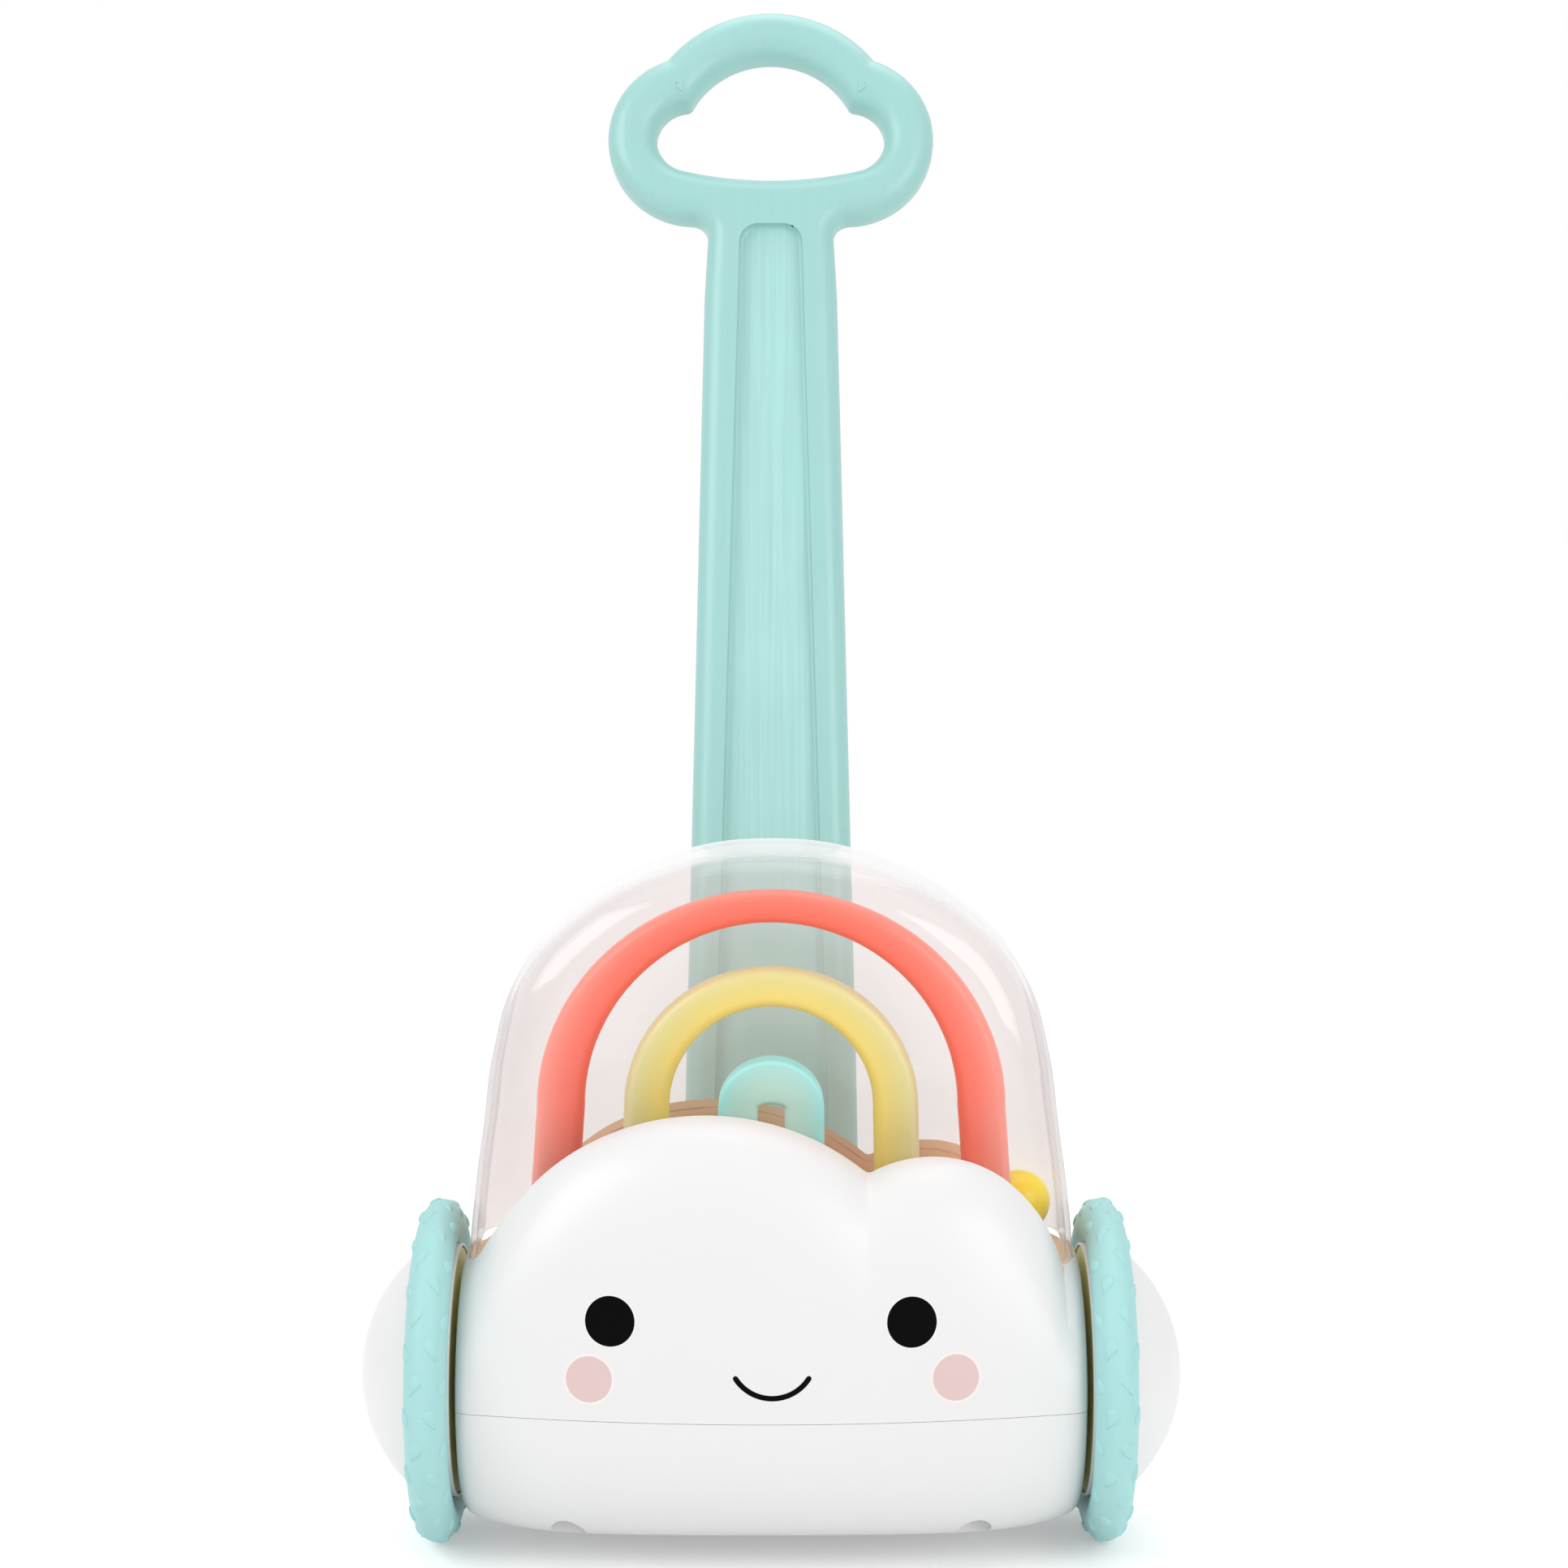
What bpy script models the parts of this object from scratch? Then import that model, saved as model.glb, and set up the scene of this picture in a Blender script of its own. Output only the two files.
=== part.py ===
"""Toddler push toy in metres, +Z up: a cloud housing between two big wheels, a clear popper dome with a
rainbow inside, and a leaning handle with a cloud-shaped grip. The child's side is +Y, the face looks to -Y.

Every piece is placed from the axle's centre line. The last step moves the whole toy so that its origin is
on the floor, in the middle of its footprint."""

import math

import bmesh
import bpy
from mathutils import Matrix, Vector

# Clearances
GAP = 0.0003  # between faces that touch on the real toy
OVERRUN = 0.004  # how far a cutter runs past the face that it cuts
RUNNING_GAP = 0.0018  # between the housing's ends and the wheels
PIN_PLAY = 0.0003  # round a pin, a rod or a screw

# Housing: a drum at each end, fuller in the middle, with the two clouds as its upper edges
HOUSING_HALF_WIDTH = 0.0997
HOUSING_END_DROP = 0.0127  # from the tyre's tread to the round of the housing's ends
HOUSING_END_FLAT = 0.0019  # by which the ends' tops lie inside that round
HOUSING_END_KEEL = 0.0020  # by which their undersides reach past it
HOUSING_END_ROUND = 0.0035
HOUSING_WALL = 0.0024
FRONT_BULGE = 0.0117
REAR_BULGE = 0.0130
BELLY = 0.0004
FRONT_CROWN_Y = 0.0200
REAR_CROWN_Y = 0.0330
BOTTOM_FLAT_FRONT = 0.0240
BOTTOM_FLAT_REAR = 0.0330
FULLNESS = 0.35  # added to the exponent 2 of a round section
SEAM_Z = -0.0012
SPLIT_Y = 0.0
NOTCH_SOFTNESS = 0.0020
SHOULDER_SOFTNESS = 0.0060

# The lobes of the front and rear cloud outlines: centre X, centre Z, radius
FRONT_BIG_LOBE = (-0.0212, 0.0092, 0.0808)
FRONT_SMALL_LOBE = (0.0518, 0.0352, 0.0415)
REAR_BIG_LOBE = (-0.0198, 0.0032, 0.0797)
REAR_SMALL_LOBE = (0.0554, 0.0254, 0.0441)

# Dome
DOME_INSET = 0.0019  # from the housing's end to the dome's foot
DOME_HEIGHT = 0.1333  # above the deck
DOME_MID_Y = 0.0070
DOME_HALF_DEPTH = 0.0305
DOME_EDGE_ROUND = 0.0160
DOME_WALL = 0.0018
# Right half of the dome's outline, as shares of its half width and of its height above the deck
DOME_OUTLINE_SHARES = (
    (1.012, -0.300),
    (1.000, 0.000),
    (0.978, 0.175),
    (0.950, 0.324),
    (0.915, 0.507),
    (0.837, 0.689),
    (0.674, 0.829),
    (0.360, 0.956),
    (0.000, 1.000),
)

# Popper deck, the floor of the dome's chamber
DECK_DROP = 0.0039  # below the round of the housing's ends
DECK_THICKNESS = 0.0020
LEDGE_LENGTH = 0.0060
LEDGE_WIDTH = 0.0120
LEDGE_DROP = 0.0030
COLLAR_HEIGHT = 0.0030
COLLAR_WALL = 0.0016
FOOT_PLAY = 0.0005

# Rainbow arches: width of the legs, splay of the feet, rounding of the edges
ARCH_DEPTH = 0.0110
ARCHES = {
    "coral_arch": (0.0156, 0.0035, 0.0035),
    "yellow_arch": (0.0148, 0.0010, 0.0035),
    "teal_arch": (0.0129, 0.0005, 0.0014),
}
# Height of the arches' common centre above the deck, as a share of the dome's height
ARCH_RISE_SHARE = 0.3511
# Outer half width as a share of the dome's, outer height above the centre as a share of the dome's, and the
# share of that height which is open under the arch's top
ARCH_SHARES = {
    "coral_arch": (0.7843, 0.5364, 0.8545),
    "yellow_arch": (0.4928, 0.3473, 0.7214),
    "teal_arch": (0.1769, 0.1200, 0.0938),
}

# Popper balls, which lie on the deck: X as a share of the dome's half width, the lane's side, colour
BALL_RADIUS = 0.0105
BALL_LANE_Y = 0.0164  # from the dome's middle plane to the middle of each lane
BALL_SHARES = {
    "popper_ball_1": (0.8466, 1, "yellow"),
    "popper_ball_2": (0.2249, 1, "coral"),
    "popper_ball_3": (-0.3681, 1, "yellow"),
    "popper_ball_4": (-0.6339, -1, "teal"),
    "popper_ball_5": (0.6135, -1, "yellow"),
}

# Wheels
TYRE_RADIUS = 0.0560
TYRE_WIDTH = 0.0137
TYRE_THICKNESS = 0.0149
TYRE_EDGE_ROUND = 0.0066
TYRE_BEAD_WIDTH = 0.0100
TYRE_BEAD_HEIGHT = 0.0025
RIM_WALL = 0.0012
RIM_HALF_WIDTH = 0.0046
LIP_HEIGHT = 0.0006
LIP_SETBACK = 0.0001
WEB_THICKNESS = 0.0020
WHEEL_BOSS_RADIUS = 0.0080
WHEEL_BOSS_IN = 0.0062
WHEEL_BOSS_OUT = 0.0060
COVER_THICKNESS = 0.0014
COVER_SETBACK = 0.0024
HUB_FOOT_INSET = 0.0006  # from the tyre's bore to the hub dome's foot
HUB_POLE = 0.0257  # from the wheel's middle plane
HUB_WALL = 0.0020
AXLE_RADIUS = 0.0030
AXLE_END = 0.0095  # past the wheel's middle plane
NUT_RADIUS = 0.0060
NUT_THICKNESS = 0.0022
BUSH_RADIUS = 0.0070
BUSH_LENGTH = 0.0046

# Popper mechanism
CAM_BASE_SHARE = 0.5385  # of the hinge's height above the axle
CAM_LIFT = 0.0035
CAM_WIDTH = 0.0240
CAM_LOBES = 3
CAM_EDGE = 0.0008
PADDLE_HINGE_Y = 0.0200
PADDLE_HINGE_DROP = 0.0134  # below the deck's top
PADDLE_HALF_WIDTH = 0.0400
PADDLE_PLATE = 0.0024
PADDLE_BARREL_RADIUS = 0.0034
FLAP_FRONT_Y = -0.0165
FLAP_REAR_Y = -0.0060
FLAP_SINK = 0.0004
FOLLOWER_HALF_WIDTH = 0.0050
FOLLOWER_LENGTH = 0.0070
CAM_CLEARANCE = 0.0006
SLOT_PLAY_FRONT = 0.0018
SLOT_PLAY_REAR = 0.0034
SLOT_PLAY_SIDE = 0.0012
PADDLE_PIN_RADIUS = 0.0015
EAR_THICKNESS = 0.0030
EAR_RADIUS = 0.0040
EAR_PLAY = 0.0006

# Handle, along its own leaning axis from the height of the cloud's rear edge
HANDLE_LEAN = math.radians(15.0)
HANDLE_FRONT_Y = 0.0520
HANDLE_FRONT_Z = 0.0674
HANDLE_DEPTH = 0.0200
HANDLE_EDGE_ROUND = 0.0080
POST_FOOT_HALF = 0.0303
POST_NECK_HALF = 0.0231
TANG_TOP = -0.0120
TANG_FOOT = -0.0440
GRIP_TOP_RISE = 0.0484  # above the middles of the side lobes, as all grip heights below
GRIP_TOP_RADIUS = 0.0486
GRIP_SIDE_X = 0.0279
GRIP_SIDE_HEIGHT = 0.3603
GRIP_SIDE_RADIUS = 0.0317
GRIP_NOTCH_FILLET = 0.0030
NECK_FILLET = 0.0060
HOLE_TOP_RISE = 0.0300
HOLE_TOP_RADIUS = 0.0318
HOLE_SIDE_X = 0.0292
HOLE_SIDE_DROP = 0.0003
HOLE_SIDE_RADIUS = 0.0120
HOLE_BOTTOM_DROP = 0.0157
HOLE_NOTCH_FILLET = 0.0035
RECESS_TOP_DROP = 0.0343
RECESS_CORNER = 0.0070
RECESS_TOP_HALF = 0.0114
RECESS_FOOT_HALF = 0.0200
RECESS_FOOT = -0.0060
RECESS_DEPTH = 0.0035
RECESS_ROUND = 0.0016
CHANNEL_TOP_DROP = 0.0423
CHANNEL_TOP_HALF = 0.0130
CHANNEL_FOOT_HALF = 0.0205
CHANNEL_FOOT = 0.0040
CHANNEL_WEB = 0.0026
CHANNEL_RIB = 0.0024
CHANNEL_BAYS = 5
SOCKET_WALL = 0.0030

# Fasteners and rear rollers
SCREW_RADIUS = 0.0016
SCREW_HEAD_RADIUS = 0.0034
SCREW_HEAD_HEIGHT = 0.0022
BASE_SCREW_X = 0.0645
BASE_SCREW_FRONT_Y = -0.0350
BASE_SCREW_REAR_Y = 0.0360
WELL_RADIUS = 0.0056
WELL_WALL = 0.0018
WELL_TOP = -0.0160
POST_RADIUS = 0.0042
POST_TOP = 0.0140
POST_RIB = 0.0020
BASE_SCREW_REACH = 0.0090
HANDLE_SCREW_X = 0.0150
HANDLE_SCREW_HEIGHT = -0.0280
HANDLE_SCREW_REACH = 0.0080
ROLLER_RADIUS = 0.0065
ROLLER_WIDTH = 0.0120
ROLLER_X = 0.0400
ROLLER_SETBACK = 0.0057  # behind the drum's radius
ROLLER_PIN_RADIUS = 0.0015
ROLLER_EAR_RADIUS = 0.0037
ROLLER_EAR_FRONT = 0.0080
ROLLER_EAR_THICKNESS = 0.0028
ROLLER_PLAY = 0.0005
ROLLER_EAR_ROOT_Z = -0.0310

# Numbers of facets
TYRE_STEPS = 32
RIM_STEPS = 24
WELL_STEPS = 14
SMALL_STEPS = 12
SCREW_STEPS = 8
CAM_STEPS = 36
HOUSING_STATIONS = 19
LINING_STATIONS = 13
CROWN_STEPS = 9
KEEL_STEPS = 4
LINING_STEPS = 5

# Sizes and places worked out from those above
TYRE_BORE_RADIUS = TYRE_RADIUS - TYRE_THICKNESS
HOUSING_END_RADIUS = TYRE_RADIUS - HOUSING_END_DROP
HOUSING_END_TOP = HOUSING_END_RADIUS - HOUSING_END_FLAT
HOUSING_END_BOTTOM = HOUSING_END_RADIUS + HOUSING_END_KEEL
HUB_FOOT = RIM_HALF_WIDTH + GAP
HUB_FOOT_RADIUS = TYRE_BORE_RADIUS - HUB_FOOT_INSET
HUB_RISE = HUB_POLE - HUB_FOOT
HUB_SPHERE_RADIUS = (HUB_FOOT_RADIUS**2 + HUB_RISE**2) / (2 * HUB_RISE)
DECK_TOP_Z = HOUSING_END_RADIUS - DECK_DROP
DOME_HALF_WIDTH = HOUSING_HALF_WIDTH - DOME_INSET
DOME_TOP_Z = DECK_TOP_Z + DOME_HEIGHT
ARCH_CENTRE_Z = DECK_TOP_Z + DOME_HEIGHT * ARCH_RISE_SHARE
PADDLE_HINGE_Z = DECK_TOP_Z - PADDLE_HINGE_DROP
CAM_BASE_RADIUS = PADDLE_HINGE_Z * CAM_BASE_SHARE
GRIP_TOP = GRIP_SIDE_HEIGHT + GRIP_TOP_RISE
HOLE_TOP = GRIP_SIDE_HEIGHT + HOLE_TOP_RISE
HOLE_SIDE_HEIGHT = GRIP_SIDE_HEIGHT - HOLE_SIDE_DROP
HOLE_BOTTOM = GRIP_SIDE_HEIGHT - HOLE_BOTTOM_DROP
RECESS_TOP = GRIP_SIDE_HEIGHT - RECESS_TOP_DROP
CHANNEL_TOP = GRIP_SIDE_HEIGHT - CHANNEL_TOP_DROP
ROLLER_Y = HOUSING_END_RADIUS + ROLLER_SETBACK
TYRE_INNER_X = HOUSING_HALF_WIDTH + RUNNING_GAP
WHEEL_X = TYRE_INNER_X + TYRE_WIDTH / 2
DOME_FOOT_Z = DECK_TOP_Z + GAP
DECK_UNDER_Z = DECK_TOP_Z - DECK_THICKNESS
HANDLE_MID_Y = HANDLE_FRONT_Y + HANDLE_DEPTH / 2 * math.cos(HANDLE_LEAN)
HANDLE_MID_Z = HANDLE_FRONT_Z - HANDLE_DEPTH / 2 * math.sin(HANDLE_LEAN)
ROLLER_Z = ROLLER_RADIUS - TYRE_RADIUS

for old in list(bpy.data.objects):
    bpy.data.objects.remove(old)

TOY = bpy.data.collections.new("push_toy")
CUTTERS = bpy.data.collections.new("cutters")
for group in (TOY, CUTTERS):
    bpy.context.scene.collection.children.link(group)


def empty(name, parent, location=(0, 0, 0), rotation=(0, 0, 0)):
    frame = bpy.data.objects.new(name, None)
    TOY.objects.link(frame)
    frame.parent = parent
    frame.location = location
    frame.rotation_euler = rotation
    return frame


ROOT = empty("toy_origin", None, (0, 0, TYRE_RADIUS))
WHEEL_AXIS = empty("wheel_axis", ROOT)
HANDLE_FRAME = empty("handle_frame", ROOT, (0, HANDLE_MID_Y, HANDLE_MID_Z), (-HANDLE_LEAN, 0, 0))


def material(name, colour, roughness, metallic=0.0, transmission=0.0):
    skin = bpy.data.materials.new(name)
    skin.use_nodes = True
    skin.diffuse_color = (*colour, 1)
    shader = skin.node_tree.nodes["Principled BSDF"]
    shader.inputs["Base Color"].default_value = (*colour, 1)
    shader.inputs["Roughness"].default_value = roughness
    shader.inputs["Metallic"].default_value = metallic
    shader.inputs["Transmission Weight"].default_value = transmission
    return skin


COLOURS = {
    "white": material("white_gloss_plastic", (0.86, 0.86, 0.86), 0.18),
    "clear": material("clear_plastic", (0.98, 0.98, 0.98), 0.03, transmission=1.0),
    "deck": material("white_matte_plastic", (0.84, 0.84, 0.82), 0.45),
    "coral": material("coral_plastic", (1.00, 0.19, 0.13), 0.30, transmission=0.3),
    "lemon": material("lemon_plastic", (0.85, 0.72, 0.22), 0.30, transmission=0.3),
    "mint": material("mint_plastic", (0.38, 0.75, 0.74), 0.30, transmission=0.3),
    "teal": material("teal_satin_plastic", (0.42, 0.74, 0.70), 0.38),
    "tyre": material("teal_soft_rubber", (0.44, 0.77, 0.74), 0.60),
    "yellow": material("yellow_gloss_plastic", (0.95, 0.75, 0.02), 0.15),
    "olive": material("yellow_cover_plastic", (0.55, 0.58, 0.20), 0.40),
    "steel": material("bright_steel", (0.70, 0.70, 0.70), 0.25, metallic=1.0),
    "bush": material("natural_acetal", (0.80, 0.80, 0.77), 0.35),
}


def add(name, bm, group, parent, colour=None, location=(0, 0, 0), rotation=(0, 0, 0)):
    """Puts a closed bmesh into the scene as one named object."""
    bmesh.ops.recalc_face_normals(bm, faces=bm.faces)
    mesh = bpy.data.meshes.new(name)
    bm.to_mesh(mesh)
    bm.free()
    mesh.shade_smooth()
    mesh.set_sharp_from_angle(angle=math.radians(35))
    thing = bpy.data.objects.new(name, mesh)
    group.objects.link(thing)
    thing.parent = parent
    thing.location = location
    thing.rotation_euler = rotation
    if colour:
        mesh.materials.append(COLOURS[colour])
    if group is CUTTERS:
        thing.hide_render = True
        thing.display_type = "WIRE"
    return thing


def block(low, high):
    """A box between two corners."""
    bm = bmesh.new()
    bmesh.ops.create_cube(bm, size=1)
    low, high = Vector(low), Vector(high)
    bmesh.ops.scale(bm, vec=high - low, verts=bm.verts)
    bmesh.ops.translate(bm, vec=(low + high) / 2, verts=bm.verts)
    return bm


TURNS = {"X": Matrix.Rotation(math.pi / 2, 4, "Y"), "Y": Matrix.Rotation(-math.pi / 2, 4, "X"), "Z": Matrix()}


def rod(radius, start, end, axis="Z", centre=(0, 0, 0), steps=SMALL_STEPS):
    """A cylinder along one axis, from start to end on it."""
    bm = bmesh.new()
    bmesh.ops.create_cone(bm, cap_ends=True, segments=steps, radius1=radius, radius2=radius, depth=end - start)
    bmesh.ops.translate(bm, vec=(0, 0, (start + end) / 2), verts=bm.verts)
    bmesh.ops.transform(bm, matrix=Matrix.Translation(centre) @ TURNS[axis], verts=bm.verts)
    return bm


def joined(*pieces):
    """Several closed bmeshes as one, for a cutter made of separate bodies."""
    whole = bmesh.new()
    for piece in pieces:
        mesh = bpy.data.meshes.new("piece")
        piece.to_mesh(mesh)
        piece.free()
        whole.from_mesh(mesh)
        bpy.data.meshes.remove(mesh)
    return whole


def cutter(name, bm, parent=ROOT, location=(0, 0, 0), rotation=(0, 0, 0)):
    return add(name, bm, CUTTERS, parent, None, location, rotation)


def boolean(target, tool, operation="DIFFERENCE"):
    step = target.modifiers.new(tool.name, "BOOLEAN")
    step.operation = operation
    step.object = tool
    return target


def turned(name, profile, parent, colour, steps, closed=True, group=TOY, rotation=(0, 0, 0)):
    """A turned piece about its own Z. The profile runs down its outer side, as (radius, height)."""
    mesh = bpy.data.meshes.new(name)
    last = [(len(profile) - 1, 0)] if closed else []
    edges = [(i, i + 1) for i in range(len(profile) - 1)] + last
    mesh.from_pydata([(radius, 0, height) for radius, height in profile], edges, [])
    if colour:
        mesh.materials.append(COLOURS[colour])
    thing = bpy.data.objects.new(name, mesh)
    group.objects.link(thing)
    thing.parent = parent
    thing.rotation_euler = rotation
    spin = thing.modifiers.new("turn", "SCREW")
    spin.steps = spin.render_steps = steps
    spin.use_merge_vertices = True
    spin.merge_threshold = 0.00001
    return thing


def flat_solid(outlines, half_thickness, round_radius, round_steps, grow=0.0):
    """A flat outline (with holes as further outlines) given a thickness along its Z and round edges."""
    curve = bpy.data.curves.new("outline", "CURVE")
    curve.dimensions = "2D"
    curve.fill_mode = "BOTH"
    curve.extrude = half_thickness - round_radius
    curve.bevel_depth = round_radius + grow
    curve.bevel_resolution = round_steps - 1
    curve.offset = -round_radius
    for outline in outlines:
        spline = curve.splines.new("POLY")
        spline.points.add(len(outline) - 1)
        for point, (across, up) in zip(spline.points, outline):
            point.co = (across, up, 0, 1)
        spline.use_cyclic_u = True
    return curve_to_bmesh(curve)


def curve_to_bmesh(curve):
    holder = bpy.data.objects.new("outline", curve)
    CUTTERS.objects.link(holder)
    graph = bpy.context.evaluated_depsgraph_get()
    mesh = bpy.data.meshes.new_from_object(holder.evaluated_get(graph))
    bm = bmesh.new()
    bm.from_mesh(mesh)
    bmesh.ops.remove_doubles(bm, verts=bm.verts, dist=GAP / 30)
    bmesh.ops.dissolve_degenerate(bm, edges=bm.edges, dist=GAP / 30)
    bpy.data.objects.remove(holder)
    bpy.data.curves.remove(curve)
    bpy.data.meshes.remove(mesh)
    return bm


def arc(centre, radius, start, end, steps):
    """Points of an arc, from one angle to another, both ends included."""
    angles = [start + (end - start) * i / steps for i in range(steps + 1)]
    return [(centre[0] + radius * math.cos(a), centre[1] + radius * math.sin(a)) for a in angles]


def heading(start, end):
    return math.atan2(end[1] - start[1], end[0] - start[0])


def crossing(first, first_radius, second, second_radius):
    """Where two circles cross, on the side away from the middle plane."""
    apart = math.dist(first, second)
    along = (apart**2 + first_radius**2 - second_radius**2) / (2 * apart)
    aside = math.sqrt(first_radius**2 - along**2)
    turn = heading(first, second)
    across = first[0] + along * math.cos(turn) - aside * math.sin(turn)
    up = first[1] + along * math.sin(turn) + aside * math.cos(turn)
    return across, up


def mirrored(half):
    """A closed outline from its right half, which runs from the top middle to the bottom."""
    left = [(-across, up) for across, up in reversed(half) if across > GAP / 30]
    return half + left


def lobe(x, shape):
    centre_x, centre_z, radius = shape
    return centre_z + math.sqrt(max(radius**2 - (x - centre_x) ** 2, 0))


def smooth_max(first, second, softness):
    near = max(softness - abs(first - second), 0) / softness
    return max(first, second) + near * near * softness / 4


def cloud_edge(x, big, small):
    """Height of a cloud outline: two lobes that sink into the drum's shoulders."""
    lobes = smooth_max(lobe(x, big), lobe(x, small), NOTCH_SOFTNESS)
    return smooth_max(lobes, HOUSING_END_TOP, SHOULDER_SOFTNESS)


def quarter(y_side, z_side, y_from, power, steps, inset):
    """A quarter of a superellipse, from its side at Z = 0 to its crown or keel."""
    depth = abs(y_side - y_from) - inset
    height = abs(z_side) - inset
    points = []
    for i in range(steps + 1):
        angle = math.pi / 2 * i / steps
        across = depth * max(math.cos(angle), 0) ** (2 / power)
        up = height * math.sin(angle) ** (2 / power)
        points.append((y_from + math.copysign(across, y_side), math.copysign(up, z_side)))
    return points


def housing_section(x, inset, crown_steps, keel_steps):
    """The housing's outline across X, going from the front over the top, to the rear and underneath."""
    share = min(abs(x) / HOUSING_HALF_WIDTH, 1)
    bow = 1 - share**2
    spread = 1 - share**6
    power = 2 + FULLNESS * spread
    front = -(HOUSING_END_RADIUS + FRONT_BULGE * bow)
    rear = HOUSING_END_RADIUS + REAR_BULGE * bow
    keel = -(HOUSING_END_BOTTOM + BELLY * (1 - share**4))
    front_top = cloud_edge(x, FRONT_BIG_LOBE, FRONT_SMALL_LOBE)
    rear_top = cloud_edge(x, REAR_BIG_LOBE, REAR_SMALL_LOBE)
    points = quarter(front, front_top, -FRONT_CROWN_Y * spread, power, crown_steps, inset)
    points += quarter(rear, rear_top, REAR_CROWN_Y * spread, power, crown_steps, inset)[::-1]
    points += quarter(rear, keel, BOTTOM_FLAT_REAR * spread, power, keel_steps, inset)[1:]
    points += quarter(front, keel, -BOTTOM_FLAT_FRONT * spread, power, keel_steps, inset)[:0:-1]
    return [(x, y, z) for y, z in points]


def loft(sections):
    """Faces between cross sections of equally many points, with both ends closed."""
    bm = bmesh.new()
    rings = [[bm.verts.new(point) for point in section] for section in sections]
    for ring, following in zip(rings, rings[1:]):
        for i in range(len(ring)):
            j = (i + 1) % len(ring)
            bm.faces.new((ring[i], ring[j], following[j], following[i]))
    bm.faces.new(rings[0])
    bm.faces.new(rings[-1])
    bmesh.ops.remove_doubles(bm, verts=bm.verts, dist=GAP / 30)
    bmesh.ops.triangulate(bm, faces=bm.faces)
    return bm


def notch_x(big, small):
    """Where the two lobes of a cloud meet."""
    return crossing((big[0], big[1]), big[2], (small[0], small[1]), small[2])[0]


def stations(half_length, count, with_notches):
    """Evenly spaced places across the housing, with extra ones where a cloud's lobes meet."""
    places = [half_length * (2 * i / (count - 1) - 1) for i in range(count)]
    clouds = ((FRONT_BIG_LOBE, FRONT_SMALL_LOBE), (REAR_BIG_LOBE, REAR_SMALL_LOBE))
    for big, small in clouds if with_notches else ():
        middle = notch_x(big, small)
        places = [x for x in places if abs(x - middle) > NOTCH_SOFTNESS]
        places += [middle - NOTCH_SOFTNESS / 2, middle, middle + NOTCH_SOFTNESS / 2]
    return sorted(places)


def housing_solid(inset, count, crown_steps, end_round, with_notches=True):
    """The housing as a full body, drawn in by an inset, with its end edges rounded."""
    half = HOUSING_HALF_WIDTH - inset
    sections = []
    for x in stations(half - end_round, count, with_notches):
        sections.append(housing_section(x, inset, crown_steps, KEEL_STEPS))
    if end_round:
        for angle in (math.radians(45), math.radians(90)):
            drawn_in = inset + end_round * (1 - math.cos(angle))
            x = half - end_round * (1 - math.sin(angle))
            sections.insert(0, housing_section(-x, drawn_in, crown_steps, KEEL_STEPS))
            sections.append(housing_section(x, drawn_in, crown_steps, KEEL_STEPS))
    return loft(sections)


def dome_solid(grow, floor_z):
    """The dome's outer form, larger by grow, cut off flat at floor_z. Its Z is the toy's."""
    curve = bpy.data.curves.new("dome_outline", "CURVE")
    curve.dimensions = "2D"
    curve.fill_mode = "BOTH"
    curve.extrude = DOME_HALF_DEPTH - DOME_EDGE_ROUND
    curve.bevel_depth = DOME_EDGE_ROUND + grow
    curve.bevel_resolution = 3
    curve.offset = -DOME_EDGE_ROUND
    curve.resolution_u = 2
    height = DOME_TOP_Z - DOME_FOOT_Z
    half = [(DOME_HALF_WIDTH * across, DOME_FOOT_Z + height * up) for across, up in DOME_OUTLINE_SHARES]
    outline = mirrored(half[::-1])
    spline = curve.splines.new("BEZIER")
    spline.bezier_points.add(len(outline) - 1)
    for point, (across, up) in zip(spline.bezier_points, outline):
        point.co = (across, up, 0)
        kind = "VECTOR" if up < 0 or up == min(z for x, z in outline) else "AUTO"
        point.handle_left_type = point.handle_right_type = kind
    spline.use_cyclic_u = True
    bm = curve_to_bmesh(curve)
    bmesh.ops.rotate(bm, matrix=Matrix.Rotation(math.pi / 2, 3, "X"), verts=bm.verts)
    bmesh.ops.translate(bm, vec=(0, DOME_MID_Y, 0), verts=bm.verts)
    everything = list(bm.verts) + list(bm.edges) + list(bm.faces)
    cut = bmesh.ops.bisect_plane(
        bm, geom=everything, dist=GAP / 30, plane_co=(0, 0, floor_z), plane_no=(0, 0, -1), clear_outer=True
    )
    rim = [edge for edge in cut["geom_cut"] if isinstance(edge, bmesh.types.BMEdge)]
    bmesh.ops.edgeloop_fill(bm, edges=rim)
    return bm


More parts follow.
